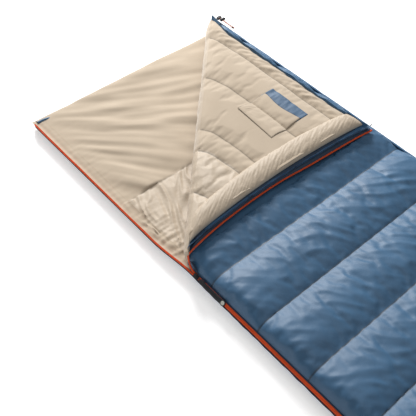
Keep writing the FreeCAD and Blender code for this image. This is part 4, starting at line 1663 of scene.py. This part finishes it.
@dataclass
class Pocket:
    """The patch pocket on the lining, its mouth bowed open, and the blue strip above it."""

    slack: float = 0.0095
    closed_low: float = 0.0365
    hem: float = 0.004
    mouth_bow: float = 0.012
    panel_thick: float = 0.0009
    strip_thick: float = 0.001
    inside: float = 0.018

    def build(self, lining: Surface, finishes: Finishes) -> None:
        """Make the panel and the strip on the folded corner's lining.

        Args:
            lining: the lining's surface in the closed bag.
            finishes: the bag's materials.
        """
        low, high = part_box("pocket_panel")
        u = np.linspace(0, 1, 70)[:, None]
        v = np.linspace(0, 1, 84)[None]
        slant = 0.012 * (v - 0.5)
        mouth = self.mouth(high[0], v)
        x = low[0] + self.hem + slant * (1 - u) + (mouth - low[0]) * u
        y = low[1] + 0.001 + (high[1] - low[1] - 0.002) * v + 0.006 * (u - 0.5) * (0.5 - v)
        ground = self.rest_height(lining, x, y)
        sides = np.minimum(shoulder(np.minimum(v, 1 - v), 0.12), shoulder(u, 0.12))
        lift = 0.0012 + 0.0028 * sides + self.slack * u**3 * np.sin(np.pi * v) ** 0.8
        corner = np.hypot(u, 1 - v)
        pulls = creases(corner, np.arctan2(u, 1 - v), 0.5, 0.16, 151) - 0.3
        lift += 0.0035 * pulls * groove(corner, 0.3)
        lift += 0.0012 * noise(x / 0.03, y / 0.03, 152) * sides
        seam = np.abs(x - (LAY.head_line - LINING_SEAMS[1] - LAY.fold_c))
        lift = np.maximum(lift - 0.0022 * groove(seam, 0.004), 0.0006)
        room = 2 * LAY.fold_z - self.closed_low - ground
        lift = room * np.tanh(lift / room)
        top = np.stack([x, y, ground + lift], axis=-1)
        # Darker colour along the patch's sewn outline: the stitching, and painted shade where its raised
        # edge meets the lining.
        rim = np.minimum(np.minimum(v, 1 - v) * 1.3, u) + 0 * x
        stitch_and_shade = 0.75 * np.exp(-((rim / 0.016) ** 2))
        panel = thin_pad("pocket_patch", top, self.panel_thick, finishes.fleece, stitch_and_shade)
        settle(panel, "flap", "lining_fleece", "pocket_panel")
        self.strip(low, high, lining, finishes)

    def mouth(self, edge: float, v: np.ndarray) -> np.ndarray:
        """The mouth's place across the bag, a power of a sine short of the panel's edge."""
        return edge - self.hem - self.mouth_bow * np.sin(np.pi * v) ** 1.3

    def strip(self, low: Vector, high: Vector, lining: Surface, finishes: Finishes) -> None:
        """The blue strip that runs from inside the mouth to above it, with a painted shadow along the
        mouth.

        Args:
            low: the lower corner of the panel's box.
            high: the upper corner of the panel's box.
            lining: the lining's surface in the closed bag.
            finishes: the bag's materials.
        """
        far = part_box("pocket_strip")[1][0]
        u = np.linspace(0, 1, 26)[:, None]
        v = np.linspace(0, 1, 84)[None]
        start = high[0] - self.inside
        x = start + (far - start) * u + 0.004 * (v - 0.5) + 0 * v
        y = low[1] + 0.001 + (high[1] - low[1] - 0.002) * v + 0 * u
        ground = self.rest_height(lining, x, y)
        edges = np.minimum(shoulder(np.minimum(v, 1 - v), 0.04), shoulder(1 - u, 0.1))
        lift = 0.0005 + 0.0014 * edges + 0.0009 * noise(y / 0.012, x / 0.03, 161) * edges
        top = np.stack([x, y, ground + lift], axis=-1)
        # Painted shadow of the pocket's mouth: a dark band on the strip just past the mouth's bowed line,
        # carried by the "seam" attribute.
        shade = np.exp(-(((x - self.mouth(high[0], v) - 0.003) / 0.006) ** 2)) + 0 * y
        piece = thin_pad("pocket_facing", top, self.strip_thick, finishes.strip, shade)
        settle(piece, "flap", "shell_blue", "pocket_strip")

    @staticmethod
    def rest_height(lining: Surface, x: np.ndarray, y: np.ndarray) -> np.ndarray:
        """The lining's height under a place on the folded corner at rest."""
        return 2 * LAY.fold_z - lining.height(y - LAY.fold_c, x + LAY.fold_c)


@dataclass
class Pull:
    """The woven pull strip, its round rim and its pale disc, on the tilted slider."""

    half_width: float = 0.0060
    half_thick: float = 0.0009
    under_rim: float = 0.0075
    fray: float = 0.00018
    weft: float = 4200
    rim: tuple[tuple[float, float], ...] = (
        (0.0, -0.0022), (0.0074, -0.0022), (0.0083, -0.0016), (0.0085, 0.0), (0.0083, 0.0014),
        (0.0078, 0.0021), (0.0070, 0.0022), (0.0064, 0.0019), (0.0062, 0.0010), (0.0, 0.0009),
    )
    disc: tuple[tuple[float, float], ...] = (
        (0.0, 0.0010), (0.0061, 0.0010), (0.0062, 0.0016), (0.0058, 0.0020),
        (0.0035, 0.0021), (0.0031, 0.0018), (0.0, 0.0018),
    )

    @staticmethod
    def matrix() -> np.ndarray:
        """Returns: the directions across, along and out of the zip chain."""
        c = HALF_ROOT
        return np.array([[c, 0, c], [0, 1, 0], [-c, 0, c]])

    def build(self, finishes: Finishes) -> None:
        """Make the strip, the rim and the disc about the middles of their nodes.

        Args:
            finishes: the bag's materials.
        """
        axes = self.matrix()
        low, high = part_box("pull_webbing")
        middle = middle_of("pull_webbing")
        length = high[1] - low[1]
        y = np.linspace(-length / 2 - 0.001, length / 2 + self.under_rim, 160)
        a = np.linspace(-1, 1, 17)[None]
        fray = self.fray * np.sin(y[:, None] * self.weft)
        thick = self.half_thick * np.clip(1 - a**8, 0, 1) + fray * (1 - a**2)
        doubled = smoothstep(length / 2 - 0.016, length / 2 - 0.012, y)[:, None]
        nose = smoothstep(length / 2 + 0.0078, length / 2 + 0.002, y)[:, None]
        sway = 0.0005 * np.sin(y * 70)[:, None]
        out = (thick + self.half_thick * doubled) * (0.3 + 0.7 * nose) + sway
        along = y[:, None] + 0 * a
        side = self.half_width * a + 0 * along
        top = middle + np.stack([side, along, out], axis=-1) @ axes
        back = middle + np.stack([side, along, sway - thick * 0.9 + 0 * along], axis=-1) @ axes
        faces = grid_faces(top.shape[:2])
        strap = closed_pad("pull_strap", top, back, faces, finishes.black)
        settle(strap, "pull", "webbing_black", "pull_webbing")
        centre = middle_of("pull_end_rim")
        self.lathe("pull_rim", self.rim, centre, finishes.plastic, "plastic_black", "pull_end_rim")
        self.lathe("pull_badge", self.disc, centre, finishes.disc, "disc_grey", "pull_disc")

    def lathe(
        self,
        name: str,
        profile: tuple[tuple[float, float], ...],
        centre: np.ndarray,
        finish: bpy.types.Material,
        slot: str,
        node: str,
    ) -> None:
        """Turn a profile about the pull's outward axis.

        Args:
            name: the piece's name.
            profile: radius and height, from one end on the axis to the other.
            centre: the place of the profile's origin.
            finish: the piece's material.
            slot: its material slot in the record.
            node: the frame's node that it stands for.
        """
        turn = np.linspace(0, 2 * np.pi, 64, endpoint=False)
        radius, out = np.array(profile[1:-1]).T
        across, along = radius[:, None] * np.cos(turn), radius[:, None] * np.sin(turn)
        ring_points = np.stack([across, along, out[:, None] + 0 * turn], axis=-1).reshape(-1, 3)
        ends = np.array([[0, 0, profile[0][1]], [0, 0, profile[-1][1]]])
        points = centre + np.concatenate([ring_points, ends]) @ self.matrix()
        rows, count = len(radius), len(turn)
        index = np.arange(rows * count).reshape(rows, count)
        after = np.roll(index, -1, axis=1)
        sides = np.stack([index[:-1], after[:-1], after[1:], index[1:]], axis=-1)
        faces = sides.reshape(-1, 4).tolist()
        first, last = rows * count, rows * count + 1
        faces += [[first, b, a] for a, b in zip(index[0], after[0])]
        faces += [[last, a, b] for a, b in zip(index[-1], after[-1])]
        piece = make_object(name, points, faces, finish)
        fix_normals(piece)
        settle(piece, "pull", slot, node)


@dataclass
class Drawcord:
    """The two cord tails at the head corner, and the finish of their tips."""

    level: float = 0.088
    radius: float = 0.0015
    drop: float = 0.0866
    length: float = 0.0701
    places: tuple[float, float] = (0.4025, 0.4075)
    run: tuple[float, float, float] = (0.990, 0.942, 0.920)

    def build(self, finishes: Finishes) -> None:
        """Make both tails and give their tips a finish.

        Args:
            finishes: the bag's materials.
        """
        for label, x, finish, tip_finish in (
            ("a", self.places[0], finishes.cord_orange, finishes.plastic),
            ("b", self.places[1], finishes.cord_beige, finishes.cord_orange),
        ):
            heights = (self.level, self.level, self.drop)
            self.tail(label, [(x, y, z) for y, z in zip(self.run, heights)], finish)
            finish_node(f"cord_tip_{label}", tip_finish)

    def tail(self, label: str, route: list, finish: bpy.types.Material) -> None:
        """One cord tail: a smooth curve out of the tab, through the lock and down.

        Args:
            label: "a" or "b".
            route: the curve's control points, from the tab.
            finish: its material.
        """
        curve = bpy.data.curves.new(f"cord_tail_{label}", "CURVE")
        curve.dimensions = "3D"
        spline = curve.splines.new("NURBS")
        spline.points.add(len(route) - 1)
        for point, place in zip(spline.points, route):
            point.co = (*place, 1)
        spline.order_u = 3
        spline.use_endpoint_u = True
        curve.resolution_u = 24
        curve.bevel_depth = self.radius
        curve.bevel_resolution = 4
        curve.use_fill_caps = True
        obj = bpy.data.objects.new(f"cord_tail_{label}", curve)
        bpy.context.scene.collection.objects.link(obj)
        curve.materials.append(finish)
        tone = "orange" if label == "a" else "beige"
        settle(obj, "bag", f"cord_{tone}", f"cord_{label}")


def finish_node(name: str, material: bpy.types.Material) -> None:
    """Give a kept node a finish of its own."""
    for material_slot in frame["nodes"][name].material_slots:
        material_slot.material = material


def finish_kept_nodes(finishes: Finishes) -> None:
    """Give the nodes that stay in view their materials.

    Args:
        finishes: the bag's materials.
    """
    for name in ("slider_body", "pull_link", "zip_foot_stop", "base_zip_stop", "flap_zip_stop"):
        finish_node(name, finishes.metal)
    for name in ("cord_lock_body", "cord_lock_button"):
        finish_node(name, finishes.plastic)
    finish_node("cord_exit_tab", finishes.black)


# ---- Stage -----------------------------------------------------------------------------------


@dataclass(frozen=True)
class Studio:
    """The floor, the lights and the camera."""

    world: float = 0.3
    floor_half: float = 14.0
    floor_level: float = -0.0005
    floor_glow: float = 0.42
    place: tuple[float, float, float] = (-1.134, -0.612, 1.612)
    azimuth: float = -43.65
    elevation: float = 49.93
    roll: float = 2.98
    lens: float = 59.42
    sensor: float = 36.0

    @staticmethod
    def area(name: str, place: tuple[float, float, float], size: float, power: float) -> None:
        """A soft square light aimed at the bag's folded corner.

        Args:
            name: the light's name.
            place: where it stands.
            size: the length of its side.
            power: its power in watts.
        """
        light = bpy.data.lights.new(name, "AREA")
        light.energy, light.size = power, size
        obj = bpy.data.objects.new(name, light)
        obj.location = place
        aim = Vector((0.0, 0.3, 0.0)) - Vector(place)
        obj.rotation_euler = aim.to_track_quat("-Z", "Y").to_euler()
        bpy.context.scene.collection.objects.link(obj)

    def build(self) -> None:
        """Make the stage."""
        world = bpy.data.worlds.new("studio")
        world.use_nodes = True
        sky = world.node_tree.nodes["Background"].inputs
        sky["Color"].default_value = (1, 1, 1, 1)
        sky["Strength"].default_value = self.world
        bpy.context.scene.world = world
        bpy.context.scene.view_settings.view_transform = "Standard"
        self.area("key_light", (1.8, 3.8, 2.4), 1.5, 330)
        self.area("top_light", (0.2, -1.0, 4.5), 3.0, 45)
        floor = bpy.data.meshes.new("floor")
        half = self.floor_half
        corners = [(-half, -half, 0), (half, -half, 0), (half, half, 0), (-half, half, 0)]
        floor.from_pydata(corners, [], [(0, 1, 2, 3)])
        stage = bpy.data.objects.new("floor", floor)
        stage.location.z = self.floor_level
        white = Solid("floor_white", (0.95, 0.95, 0.95), 0.9, grain=0.0).build()
        glow = white.node_tree.nodes["Principled BSDF"].inputs
        glow["Emission Color"].default_value = (1, 1, 1, 1)
        glow["Emission Strength"].default_value = self.floor_glow
        floor.materials.append(white)
        bpy.context.scene.collection.objects.link(stage)
        self.camera()

    def camera(self) -> None:
        """A camera above the zip side, near the foot, looking at the folded corner."""
        azimuth, elevation = math.radians(self.azimuth), math.radians(self.elevation)
        roll = math.radians(self.roll)
        flat = math.cos(elevation)
        back = Vector((math.sin(azimuth) * flat, -math.cos(azimuth) * flat, math.sin(elevation)))
        side = (-back).cross(Vector((0, 0, 1))).normalized()
        up = side.cross(-back)
        right = side * math.cos(roll) + up * math.sin(roll)
        above = up * math.cos(roll) - side * math.sin(roll)
        data = bpy.data.cameras.new("camera")
        data.lens, data.sensor_width = self.lens, self.sensor
        camera = bpy.data.objects.new("camera", data)
        turn = Matrix((right, above, back)).transposed().to_4x4()
        camera.matrix_world = Matrix.Translation(self.place) @ turn
        bpy.context.scene.collection.objects.link(camera)
        bpy.context.scene.camera = camera


def main() -> None:
    """Build every piece, then the stage."""
    logging.basicConfig(level=logging.INFO)
    finishes = Finishes()
    TopShell().build(finishes)
    lining = FlapLining().build(finishes)
    base = BaseQuilt().build(finishes)
    EdgeWraps().build(finishes)
    ZipParts().build(base, finishes)
    Pocket().build(lining, finishes)
    Pull().build(finishes)
    Drawcord().build(finishes)
    finish_kept_nodes(finishes)
    Studio().build()


if __name__ == "__main__":
    main()
